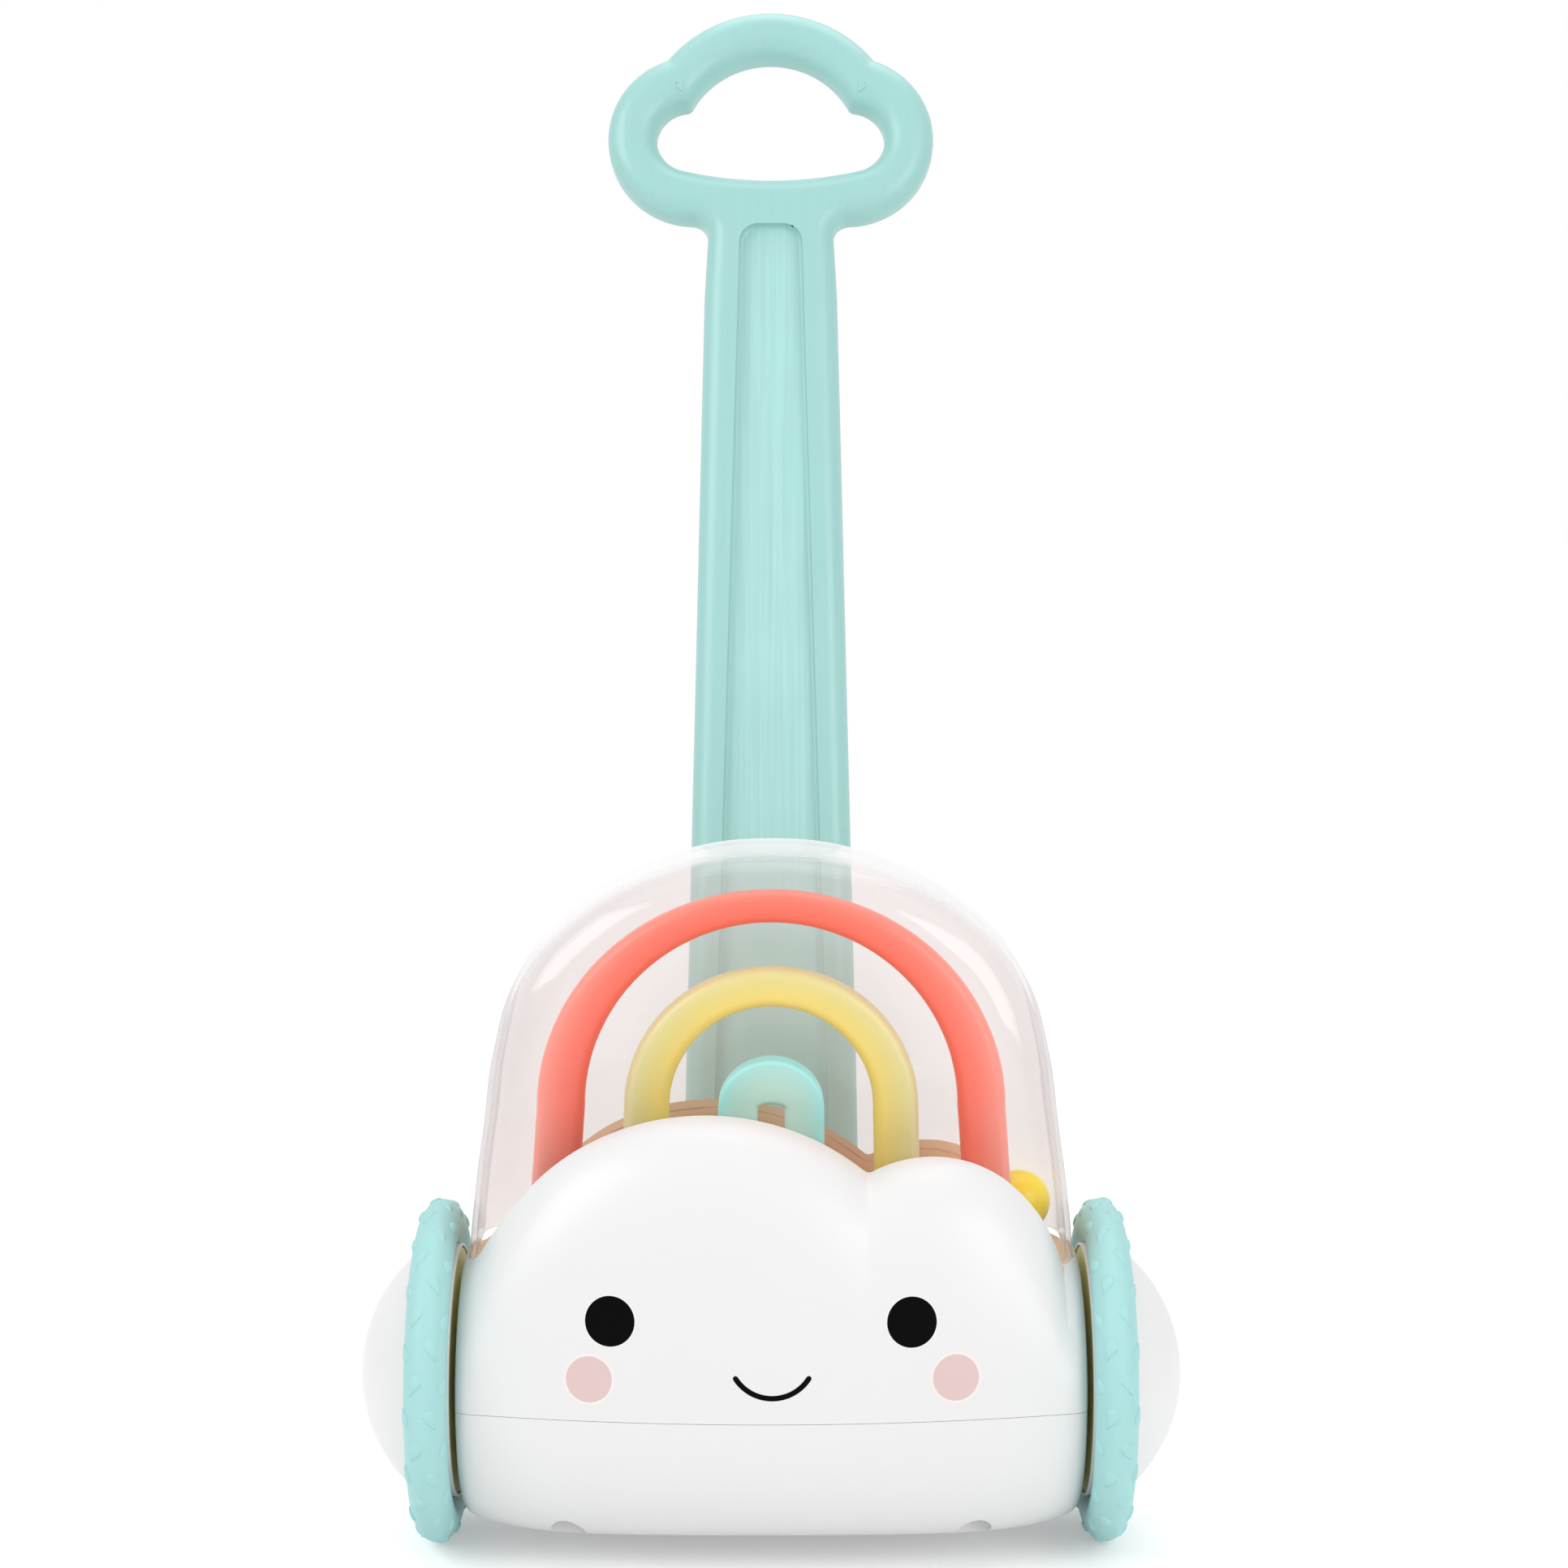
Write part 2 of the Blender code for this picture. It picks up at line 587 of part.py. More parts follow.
def make_housing():
    """Front, rear and base shells: one hollow body cut along its seams, with posts, wells and a socket."""
    chamber = cutter("dome_chamber", dome_solid(GAP, DECK_UNDER_Z - GAP))
    reach = HOUSING_HALF_WIDTH + OVERRUN
    bush_bore = cutter("bush_bore", rod(BUSH_RADIUS + GAP, -reach, reach, "X", steps=WELL_STEPS))
    half_gap = GAP / 2
    deep = HOUSING_END_RADIUS + REAR_BULGE + OVERRUN
    tall = FRONT_BIG_LOBE[1] + FRONT_BIG_LOBE[2] + OVERRUN
    regions = {
        "front_shell": ((-reach, -deep, SEAM_Z + half_gap), (reach, SPLIT_Y - half_gap, tall)),
        "rear_shell": ((-reach, SPLIT_Y + half_gap, SEAM_Z + half_gap), (reach, deep, tall)),
        "base_shell": ((-reach, -deep, -deep), (reach, deep, SEAM_Z - half_gap)),
    }
    linings = {}
    for name in regions:
        inside = housing_solid(HOUSING_WALL, LINING_STATIONS, LINING_STEPS, 0, name != "base_shell")
        linings[name] = cutter(f"{name}_lining", inside)
    leave_screw_posts(linings)
    leave_ledges(linings)
    shells = {}
    for name, (low, high) in regions.items():
        clouds = name != "base_shell"
        outside = housing_solid(0, HOUSING_STATIONS, CROWN_STEPS, HOUSING_END_ROUND, clouds)
        shell = add(name, outside, TOY, ROOT, "white")
        boolean(shell, linings[name])
        boolean(shell, cutter(f"{name}_region", block(low, high)), "INTERSECT")
        boolean(shell, bush_bore)
        shells[name] = shell
    boolean(shells["front_shell"], chamber)
    add_roller_ears(shells["base_shell"])
    cut_screw_holes(shells)
    add_handle_socket(shells["rear_shell"], chamber)


def wall_y(x, side):
    """Middle of the housing's front (side -1) or rear (side 1) wall at the seam."""
    bow = 1 - (x / HOUSING_HALF_WIDTH) ** 2
    bulge = REAR_BULGE if side > 0 else FRONT_BULGE
    return side * (HOUSING_END_RADIUS + bulge * bow - HOUSING_WALL / 2)


def screw_places():
    """Number, shell, X, Y and side of each base screw."""
    places = [("front_shell", BASE_SCREW_FRONT_Y, -1), ("rear_shell", BASE_SCREW_REAR_Y, 1)]
    spots = [(shell, x, y, side) for shell, y, side in places for x in (-BASE_SCREW_X, BASE_SCREW_X)]
    return [(number + 1, *spot) for number, spot in enumerate(spots)]


def leave_screw_posts(linings):
    """Takes each screw's post, its rib and its well out of the linings, so that they stay in the shells."""
    keel = -(HOUSING_END_BOTTOM + BELLY)
    for number, shell, x, y, side in screw_places():
        post = rod(POST_RADIUS, SEAM_Z - OVERRUN, POST_TOP, "Z", (x, y, 0))
        near, far = sorted((y, wall_y(x, side)))
        rib = block((x - POST_RIB / 2, near, SEAM_Z - OVERRUN), (x + POST_RIB / 2, far, POST_TOP - POST_RIB))
        tube = rod(WELL_RADIUS + WELL_WALL, keel - OVERRUN, OVERRUN, "Z", (x, y, 0), WELL_STEPS)
        boolean(linings[shell], cutter(f"screw_post_{number}", post))
        boolean(linings[shell], cutter(f"post_rib_{number}", rib))
        boolean(linings["base_shell"], cutter(f"well_tube_{number}", tube))


def cut_screw_holes(shells):
    keel = -(HOUSING_END_BOTTOM + BELLY)
    hole_radius = SCREW_RADIUS + PIN_PLAY
    for number, shell, x, y, side in screw_places():
        bore = rod(WELL_RADIUS, keel - OVERRUN, WELL_TOP, "Z", (x, y, 0), WELL_STEPS)
        hole = rod(hole_radius, WELL_TOP - OVERRUN, BASE_SCREW_REACH + OVERRUN / 2, "Z", (x, y, 0), SCREW_STEPS)
        hole_cutter = cutter(f"screw_hole_{number}", hole)
        boolean(shells["base_shell"], cutter(f"well_bore_{number}", bore))
        boolean(shells["base_shell"], hole_cutter)
        boolean(shells[shell], hole_cutter)
        make_screw(f"base_screw_{number}", ROOT, (x, y, WELL_TOP - GAP), BASE_SCREW_REACH - WELL_TOP + GAP)


def make_screw(name, parent, location, shank, rotation=(0, 0, 0)):
    """A pan-head screw whose head's upper face lies at its origin, with the shank along +Z."""
    head = SCREW_HEAD_RADIUS
    profile = [
        (0, shank),
        (SCREW_RADIUS, shank),
        (SCREW_RADIUS, 0),
        (head, 0),
        (head, -SCREW_HEAD_HEIGHT / 2),
        (head * 0.8, -SCREW_HEAD_HEIGHT),
        (0, -SCREW_HEAD_HEIGHT),
    ]
    screw = turned(name, profile, parent, "steel", SCREW_STEPS, closed=False, rotation=rotation)
    screw.location = location
    return screw


def leave_ledges(linings):
    """Leaves a ledge at each end of both upper shells, which together carry the deck."""
    top = DECK_UNDER_Z - GAP
    for name, side in (("front_shell", -1), ("rear_shell", 1)):
        near, far = sorted((SPLIT_Y - side * OVERRUN, SPLIT_Y + side * LEDGE_WIDTH))
        for end in (-1, 1):
            inner, outer = sorted((
                end * (HOUSING_HALF_WIDTH - HOUSING_WALL - LEDGE_LENGTH),
                end * HOUSING_HALF_WIDTH,
            ))
            ledge = block((inner, near, top - LEDGE_DROP), (outer, far, top))
            boolean(linings[name], cutter(f"{name}_ledge_{end}", ledge))


def standing(bm):
    """Turns an outline's solid upright: its second axis up, its thickness along Y."""
    bmesh.ops.rotate(bm, matrix=Matrix.Rotation(math.pi / 2, 3, "X"), verts=bm.verts)
    return bm


def socket_body(grow, foot, top):
    """A round-edged block round the handle's tang."""
    half_width = POST_FOOT_HALF + grow
    half_depth = HANDLE_DEPTH / 2 + grow
    edge = HANDLE_EDGE_ROUND + grow
    corners = []
    for angle in (0, 90, 180, 270):
        centre = (
            math.copysign(half_width - edge, math.cos(math.radians(angle + 45))),
            math.copysign(half_depth - edge, math.sin(math.radians(angle + 45))),
        )
        corners += arc(centre, edge, math.radians(angle), math.radians(angle + 90), 3)
    sections = [[(across, deep, height) for across, deep in corners] for height in (foot, top)]
    return loft(sections)


def add_handle_socket(shell, chamber):
    """A collar that rises from the rear cloud round the handle's foot, open at its top."""
    collar = socket_body(GAP + SOCKET_WALL, TANG_FOOT - GAP - SOCKET_WALL, TANG_TOP)
    boolean(shell, cutter("socket_collar", collar, HANDLE_FRAME), "UNION")
    boolean(shell, cutter("socket_room", socket_body(GAP, TANG_FOOT - GAP, -TANG_FOOT), HANDLE_FRAME))
    boolean(shell, chamber)
    back = HANDLE_DEPTH / 2 + GAP + SOCKET_WALL
    for side, name in ((-1, "left"), (1, "right")):
        centre = (side * HANDLE_SCREW_X, 0, HANDLE_SCREW_HEIGHT)
        hole = rod(SCREW_RADIUS + PIN_PLAY, 0, back + OVERRUN, "Y", centre, SCREW_STEPS)
        boolean(shell, cutter(f"socket_hole_{name}", hole, HANDLE_FRAME))
        shank = SOCKET_WALL + 2 * GAP + HANDLE_SCREW_REACH
        place = (centre[0], back + GAP, HANDLE_SCREW_HEIGHT)
        make_screw(f"handle_screw_{name}", HANDLE_FRAME, place, shank, (math.pi / 2, 0, 0))


def slab(outline, start, end):
    """An outline of Y and Z given a thickness along X."""
    return loft([[(x, y, z) for y, z in outline] for x in (start, end)])


def ear_outline(centre, radius, root):
    """A lug in Y and Z: round about its pin, with two corners at its root, the front one first."""
    return arc(centre, radius, math.radians(20), math.radians(-200), 6) + root


def add_roller_ears(base):
    """Two pairs of ears under the rear edge, with the rollers and their pins."""
    place = (0, ROLLER_Y, ROLLER_Z)
    inner = ROLLER_WIDTH / 2 + ROLLER_PLAY
    outer = inner + ROLLER_EAR_THICKNESS
    root = [(ROLLER_Y - ROLLER_EAR_FRONT, ROLLER_EAR_ROOT_Z), (ROLLER_Y, ROLLER_EAR_ROOT_Z)]
    ear = ear_outline((ROLLER_Y, ROLLER_Z), ROLLER_EAR_RADIUS, root)
    half = ROLLER_WIDTH / 2
    edge = ROLLER_PLAY
    bore_radius = ROLLER_PIN_RADIUS + PIN_PLAY
    profile = [
        (bore_radius, half),
        (ROLLER_RADIUS - edge, half),
        (ROLLER_RADIUS, half - edge),
        (ROLLER_RADIUS, edge - half),
        (ROLLER_RADIUS - edge, -half),
        (bore_radius, -half),
    ]
    for side, name in ((-1, "left"), (1, "right")):
        x = side * ROLLER_X
        for hand in (-1, 1):
            near, far = sorted((x + hand * inner, x + hand * outer))
            boolean(base, cutter(f"roller_ear_{name}_{hand}", slab(ear, near, far)), "UNION")
        bore = rod(bore_radius, x - outer - OVERRUN, x + outer + OVERRUN, "X", place, SCREW_STEPS)
        boolean(base, cutter(f"roller_ear_bore_{name}", bore))
        pin = rod(ROLLER_PIN_RADIUS, x - outer, x + outer, "X", steps=SCREW_STEPS)
        add(f"roller_pin_{name}", pin, TOY, ROOT, "steel", place)
        axis = empty(f"roller_axis_{name}", ROOT, (x, ROLLER_Y, ROLLER_Z), (0, math.pi / 2, 0))
        turned(f"rear_roller_{name}", profile, axis, "deck", WELL_STEPS)


def make_dome():
    dome = add("clear_dome", dome_solid(0, DOME_FOOT_Z), TOY, ROOT, "clear")
    boolean(dome, cutter("dome_room", dome_solid(-DOME_WALL, DOME_FOOT_Z - OVERRUN)))


def arch_outline(side, height, leg_band, open_height, splay, foot_z):
    """An arch standing on its two feet: one half ellipse inside another."""
    drop = ARCH_CENTRE_Z - foot_z
    outer = [(side * math.cos(a), height * math.sin(a)) for a in (math.pi * i / 18 for i in range(19))]
    inner = side - leg_band
    inner_points = [(inner * math.cos(a), open_height * math.sin(a)) for a in (math.pi * i / 12 for i in range(13))]
    outline = [(side + splay, -drop)] + outer + [(-side - splay, -drop)]
    outline += [(-inner - splay, -drop)] + inner_points[::-1] + [(inner + splay, -drop)]
    return outline


def arch_reach(name):
    """An arch's outer half width, its outer height above the common centre and the height open under it."""
    side_share, height_share, open_share = ARCH_SHARES[name]
    height = DOME_HEIGHT * height_share
    return DOME_HALF_WIDTH * side_share, height, height * open_share


def make_arches():
    colours = {"coral_arch": "coral", "yellow_arch": "lemon", "teal_arch": "mint"}
    for name, (leg_band, splay, edge) in ARCHES.items():
        side, height, open_height = arch_reach(name)
        outline = arch_outline(side, height, leg_band, open_height, splay, DECK_TOP_Z + GAP)
        solid = standing(flat_solid([outline], ARCH_DEPTH / 2, edge, 2))
        bmesh.ops.translate(solid, vec=(0, DOME_MID_Y, ARCH_CENTRE_Z), verts=solid.verts)
        add(name, solid, TOY, ROOT, colours[name])


def make_deck():
    """The chamber's floor, with a collar round each arch foot, a slot for the flap and ears for its pin."""
    deck = add("popper_deck", block(
        (-HOUSING_HALF_WIDTH, -HOUSING_HALF_WIDTH / 2, DECK_UNDER_Z),
        (HOUSING_HALF_WIDTH, DOME_MID_Y + DOME_HALF_DEPTH + GAP, DECK_TOP_Z),
    ), TOY, ROOT, "deck")
    room = housing_solid(HOUSING_WALL + GAP, LINING_STATIONS, LINING_STEPS, 0)
    boolean(deck, cutter("deck_room", room), "INTERSECT")
    thickness = ARCH_DEPTH / 2
    for name, (leg_band, splay, edge) in ARCHES.items():
        outer = arch_reach(name)[0] + splay
        for hand in (-1, 1):
            low_x, high_x = sorted((hand * (outer - leg_band), hand * outer))
            grow = FOOT_PLAY + COLLAR_WALL
            collar = block(
                (low_x - grow, DOME_MID_Y - thickness - grow, DECK_UNDER_Z + DECK_THICKNESS / 2),
                (high_x + grow, DOME_MID_Y + thickness + grow, DECK_TOP_Z + COLLAR_HEIGHT),
            )
            well = block(
                (low_x - FOOT_PLAY, DOME_MID_Y - thickness - FOOT_PLAY, DECK_TOP_Z),
                (high_x + FOOT_PLAY, DOME_MID_Y + thickness + FOOT_PLAY, DECK_TOP_Z + COLLAR_HEIGHT + OVERRUN),
            )
            boolean(deck, cutter(f"{name}_collar_{hand}", collar), "UNION")
            boolean(deck, cutter(f"{name}_well_{hand}", well))
    slot_side = PADDLE_HALF_WIDTH + SLOT_PLAY_SIDE
    slot = block(
        (-slot_side, FLAP_FRONT_Y - SLOT_PLAY_FRONT, DECK_UNDER_Z - OVERRUN),
        (slot_side, FLAP_REAR_Y + SLOT_PLAY_REAR, DECK_TOP_Z + OVERRUN),
    )
    boolean(deck, cutter("flap_slot", slot))
    hinge = (0, PADDLE_HINGE_Y, PADDLE_HINGE_Z)
    root_z = DECK_UNDER_Z + DECK_THICKNESS / 2
    root = [(PADDLE_HINGE_Y - EAR_RADIUS, root_z), (PADDLE_HINGE_Y + EAR_RADIUS, root_z)]
    ear = ear_outline(hinge[1:], EAR_RADIUS, root)
    near = PADDLE_HALF_WIDTH + EAR_PLAY
    far = near + EAR_THICKNESS
    for hand in (-1, 1):
        start, end = sorted((hand * near, hand * far))
        boolean(deck, cutter(f"pin_ear_{hand}", slab(ear, start, end)), "UNION")
    bore = rod(PADDLE_PIN_RADIUS + PIN_PLAY, -far - OVERRUN, far + OVERRUN, "X", hinge, SCREW_STEPS)
    boolean(deck, cutter("pin_ear_bore", bore))
    pin = rod(PADDLE_PIN_RADIUS, -far, far, "X", steps=SCREW_STEPS)
    add("paddle_pin", pin, TOY, ROOT, "steel", hinge)


def make_paddle():
    """The flap under the deck: a barrel on its pin, a plate over the cam and an upright bar in the slot."""
    axis = empty("paddle_axis", ROOT, (0, PADDLE_HINGE_Y, PADDLE_HINGE_Z))
    half = PADDLE_HALF_WIDTH
    paddle = add("popper_paddle", rod(PADDLE_BARREL_RADIUS, -half, half, "X"), TOY, axis, "yellow")
    plate_low = (-half, FLAP_FRONT_Y - PADDLE_HINGE_Y, -PADDLE_PLATE / 2)
    plate_end = -(PADDLE_PIN_RADIUS + PADDLE_BARREL_RADIUS) / 2
    plate = block(plate_low, (half, plate_end, PADDLE_PLATE / 2))
    flap_top = DECK_TOP_Z - FLAP_SINK - PADDLE_HINGE_Z
    bar = block(plate_low, (half, FLAP_REAR_Y - PADDLE_HINGE_Y, flap_top))
    cam_top = CAM_BASE_RADIUS + CAM_LIFT + CAM_CLEARANCE - PADDLE_HINGE_Z
    follower = block(
        (-FOLLOWER_HALF_WIDTH, -PADDLE_HINGE_Y - FOLLOWER_LENGTH / 2, cam_top),
        (FOLLOWER_HALF_WIDTH, -PADDLE_HINGE_Y + FOLLOWER_LENGTH / 2, 0),
    )
    for name, bm in (("plate", plate), ("bar", bar), ("follower", follower)):
        boolean(paddle, cutter(f"paddle_{name}", bm, axis), "UNION")
    hollow = block(
        (-half + 2 * PADDLE_PLATE, plate_low[1] + PADDLE_PLATE, -PADDLE_PLATE),
        (half - 2 * PADDLE_PLATE, FLAP_REAR_Y - PADDLE_HINGE_Y - PADDLE_PLATE, flap_top - PADDLE_PLATE),
    )
    boolean(paddle, cutter("paddle_hollow", hollow, axis))
    bore = rod(PADDLE_PIN_RADIUS + PIN_PLAY, -half - OVERRUN, half + OVERRUN, "X", steps=SCREW_STEPS)
    boolean(paddle, cutter("paddle_bore", bore, axis))


def make_axle():
    """The steel axle and what turns with it or carries it."""
    end = WHEEL_X + AXLE_END
    add("axle", rod(AXLE_RADIUS, -end, end, "X", steps=SMALL_STEPS), TOY, WHEEL_AXIS, "steel")
    bore = AXLE_RADIUS + PIN_PLAY
    outline = []
    for i in range(CAM_STEPS):
        angle = 2 * math.pi * i / CAM_STEPS
        radius = CAM_BASE_RADIUS + CAM_LIFT * math.cos(CAM_LOBES * angle)
        outline.append((radius * math.cos(angle), radius * math.sin(angle)))
    hole = arc((0, 0), bore, 2 * math.pi, 2 * math.pi / SMALL_STEPS, SMALL_STEPS - 1)
    cam = flat_solid([outline, hole], CAM_WIDTH / 2, CAM_EDGE, 1)
    bmesh.ops.transform(cam, matrix=TURNS["X"], verts=cam.verts)
    add("popper_cam", cam, TOY, WHEEL_AXIS, "olive")
    inner_end = HOUSING_HALF_WIDTH - HOUSING_WALL - BUSH_LENGTH / 3
    for side, name in ((-1, "left"), (1, "right")):
        profile = [(bore, BUSH_LENGTH), (BUSH_RADIUS, BUSH_LENGTH), (BUSH_RADIUS, 0), (bore, 0)]
        bush = turned(f"axle_bush_{name}", profile, ROOT, "bush", WELL_STEPS, rotation=outward(side))
        bush.location = (side * inner_end, 0, 0)


def outward(side):
    """Turns a profile's Z along X, away from the toy's middle."""
    return (0, side * math.pi / 2, 0)


def tyre_profile():
    half = TYRE_WIDTH / 2
    bead = TYRE_BEAD_WIDTH / 2
    bead_radius = TYRE_BORE_RADIUS + TYRE_BEAD_HEIGHT
    edge = TYRE_EDGE_ROUND
    upper = [(TYRE_BORE_RADIUS, bead), (bead_radius, bead)]
    upper += arc((TYRE_RADIUS - edge, half - edge), edge, math.pi / 2, 0, 2)
    return upper + [(radius, -height) for radius, height in reversed(upper)]


def cup_profile():
    """The wheel: rim, lip towards the housing, web and boss, round the axle's bore."""
    rim = TYRE_BORE_RADIUS - GAP
    inside = rim - RIM_WALL
    lip_out = TYRE_BEAD_WIDTH / 2 + GAP
    lip_in = TYRE_WIDTH / 2 - LIP_SETBACK
    web = WEB_THICKNESS / 2
    bore = AXLE_RADIUS + PIN_PLAY
    return [
        (inside, RIM_HALF_WIDTH),
        (rim, RIM_HALF_WIDTH),
        (rim, -lip_out),
        (rim + LIP_HEIGHT, -lip_out),
        (rim + LIP_HEIGHT, -lip_in),
        (inside, -lip_in),
        (inside, -web),
        (WHEEL_BOSS_RADIUS, -web),
        (WHEEL_BOSS_RADIUS, -WHEEL_BOSS_IN),
        (bore, -WHEEL_BOSS_IN),
        (bore, WHEEL_BOSS_OUT),
        (WHEEL_BOSS_RADIUS, WHEEL_BOSS_OUT),
        (WHEEL_BOSS_RADIUS, web),
        (inside, web),
    ]


def hub_profile():
    """A bowl of even wall: part of a sphere that bulges from the wheel's outer face."""
    centre = HUB_POLE - HUB_SPHERE_RADIUS

    def side(radius, steps):
        low = math.asin((HUB_FOOT - centre) / radius)
        return [
            (radius * math.cos(a), centre + radius * math.sin(a))
            for a in (math.pi / 2 + (low - math.pi / 2) * i / steps for i in range(steps + 1))
        ]

    outer = side(HUB_SPHERE_RADIUS, 6)
    inner = side(HUB_SPHERE_RADIUS - HUB_WALL, 4)[::-1]
    outer[0] = (0, HUB_POLE)
    inner[-1] = (0, HUB_POLE - HUB_WALL)
    return outer + inner


def make_wheels():
    cover_foot = -TYRE_WIDTH / 2 + COVER_SETBACK
    cover_bore = WHEEL_BOSS_RADIUS + GAP
    cover_radius = TYRE_BORE_RADIUS - 2 * GAP - RIM_WALL
    cover = [
        (cover_bore, cover_foot + COVER_THICKNESS),
        (cover_radius, cover_foot + COVER_THICKNESS),
        (cover_radius, cover_foot),
        (cover_bore, cover_foot),
    ]
    nut_foot = WHEEL_BOSS_OUT + GAP
    nut_bore = AXLE_RADIUS + PIN_PLAY
    nut = [
        (nut_bore, nut_foot + NUT_THICKNESS),
        (NUT_RADIUS * 0.6, nut_foot + NUT_THICKNESS),
        (NUT_RADIUS, nut_foot + NUT_THICKNESS / 2),
        (NUT_RADIUS, nut_foot),
        (nut_bore, nut_foot),
    ]
    for side, name in ((-1, "left"), (1, "right")):
        frame = empty(f"wheel_frame_{name}", WHEEL_AXIS, (side * WHEEL_X, 0, 0), outward(side))
        turned(f"tyre_{name}", tyre_profile(), frame, "tyre", TYRE_STEPS)
        turned(f"wheel_{name}", cup_profile(), frame, "white", RIM_STEPS)
        turned(f"inner_cover_{name}", cover, frame, "olive", RIM_STEPS)
        turned(f"hub_dome_{name}", hub_profile(), frame, "white", RIM_STEPS, closed=False)
        turned(f"axle_nut_{name}", nut, frame, "steel", SMALL_STEPS)


def post_half_width(height):
    return POST_FOOT_HALF + (POST_NECK_HALF - POST_FOOT_HALF) * height / GRIP_SIDE_HEIGHT


def handle_outline():
    """Foot, tapered post and the three lobes of the grip."""
    top = (0, GRIP_TOP - GRIP_TOP_RADIUS)
    side = (GRIP_SIDE_X, GRIP_SIDE_HEIGHT)
    notch = crossing(top, GRIP_TOP_RADIUS + GRIP_NOTCH_FILLET, side, GRIP_SIDE_RADIUS + GRIP_NOTCH_FILLET)
    neck_x = POST_NECK_HALF + NECK_FILLET
    drop = math.sqrt((GRIP_SIDE_RADIUS + NECK_FILLET) ** 2 - (neck_x - GRIP_SIDE_X) ** 2)
    neck = (neck_x, GRIP_SIDE_HEIGHT - drop)
    half = arc(top, GRIP_TOP_RADIUS, math.pi / 2, heading(top, notch), 7)
    half += arc(notch, GRIP_NOTCH_FILLET, heading(notch, top) + 2 * math.pi, heading(notch, side) + 2 * math.pi, 2)[1:-1]
    half += arc(side, GRIP_SIDE_RADIUS, heading(side, notch), heading(side, neck), 11)
    half += arc(neck, NECK_FILLET, heading(neck, side), math.pi, 3)[1:]
    half += [(post_half_width(0), TANG_TOP), (POST_FOOT_HALF, TANG_FOOT)]
    return mirrored(half + [(0, TANG_FOOT)])


def hole_outline():
    """The grip's opening: a smaller cloud with a nearly flat foot."""
    top = (0, HOLE_TOP - HOLE_TOP_RADIUS)
    side = (HOLE_SIDE_X, HOLE_SIDE_HEIGHT)
    notch = crossing(top, HOLE_TOP_RADIUS + HOLE_NOTCH_FILLET, side, HOLE_SIDE_RADIUS + HOLE_NOTCH_FILLET)
    low = HOLE_BOTTOM + HOLE_SIDE_RADIUS
    centre = (HOLE_SIDE_X**2 + HOLE_SIDE_HEIGHT**2 - low**2) / (2 * (HOLE_SIDE_HEIGHT - low))
    foot = (0, centre)
    foot_radius = centre - HOLE_BOTTOM
    half = arc(top, HOLE_TOP_RADIUS, math.pi / 2, heading(top, notch), 5)
    half += arc(notch, HOLE_NOTCH_FILLET, heading(notch, top) + 2 * math.pi, heading(notch, side) + 2 * math.pi, 2)[1:-1]
    half += arc(side, HOLE_SIDE_RADIUS, heading(side, notch), heading(foot, side), 7)
    half += arc(foot, foot_radius, heading(foot, side), -math.pi / 2, 2)[1:]
    return mirrored(half)


def tapered_groove(top, top_half, corner, foot, foot_half):
    """A long outline with round upper corners, widening towards its foot."""
    half = [(0, top)] + arc((top_half - corner, top - corner), corner, math.pi / 2, 0, 3)
    half += [(foot_half, foot), (0, foot)]
    return mirrored(half)


def make_handle():
    """One moulding: post and grip. The front has a shallow recess, the back a ribbed channel."""
    outlines = [handle_outline()[::-1], hole_outline()]
    solid = standing(flat_solid(outlines, HANDLE_DEPTH / 2, HANDLE_EDGE_ROUND, 2))
    handle = add("handle", solid, TOY, HANDLE_FRAME, "teal")
    recess = tapered_groove(RECESS_TOP, RECESS_TOP_HALF, RECESS_CORNER, RECESS_FOOT, RECESS_FOOT_HALF)
    thickness = RECESS_DEPTH + OVERRUN
    groove = standing(flat_solid([recess[::-1]], thickness / 2, RECESS_ROUND, 2))
    bmesh.ops.translate(groove, vec=(0, -HANDLE_DEPTH / 2 + RECESS_DEPTH - thickness / 2, 0), verts=groove.verts)
    boolean(handle, cutter("handle_recess", groove, HANDLE_FRAME))
    floor = -HANDLE_DEPTH / 2 + RECESS_DEPTH + CHANNEL_WEB
    length = (CHANNEL_TOP - CHANNEL_FOOT - (CHANNEL_BAYS - 1) * CHANNEL_RIB) / CHANNEL_BAYS
    for bay in range(CHANNEL_BAYS):
        foot = CHANNEL_FOOT + bay * (length + CHANNEL_RIB)
        half = []
        for height in (foot + length, foot):
            share = (height - CHANNEL_FOOT) / (CHANNEL_TOP - CHANNEL_FOOT)
            width = CHANNEL_FOOT_HALF + (CHANNEL_TOP_HALF - CHANNEL_FOOT_HALF) * share
            half.append((width, height))
        outline = [half[0], half[1], (-half[1][0], half[1][1]), (-half[0][0], half[0][1])]
        deep = HANDLE_DEPTH / 2 + OVERRUN - floor
        pocket = standing(flat_solid([outline[::-1]], deep / 2, 0, 1))
        bmesh.ops.translate(pocket, vec=(0, floor + deep / 2, 0), verts=pocket.verts)
        boolean(handle, cutter(f"handle_bay_{bay + 1}", pocket, HANDLE_FRAME))
    for side, name in ((-1, "left"), (1, "right")):
        centre = (side * HANDLE_SCREW_X, 0, HANDLE_SCREW_HEIGHT)
        start = HANDLE_DEPTH / 2 - HANDLE_SCREW_REACH - OVERRUN / 2
        pilot = rod(SCREW_RADIUS + PIN_PLAY, start, HANDLE_DEPTH, "Y", centre, SCREW_STEPS)
        boolean(handle, cutter(f"handle_pilot_{name}", pilot, HANDLE_FRAME))


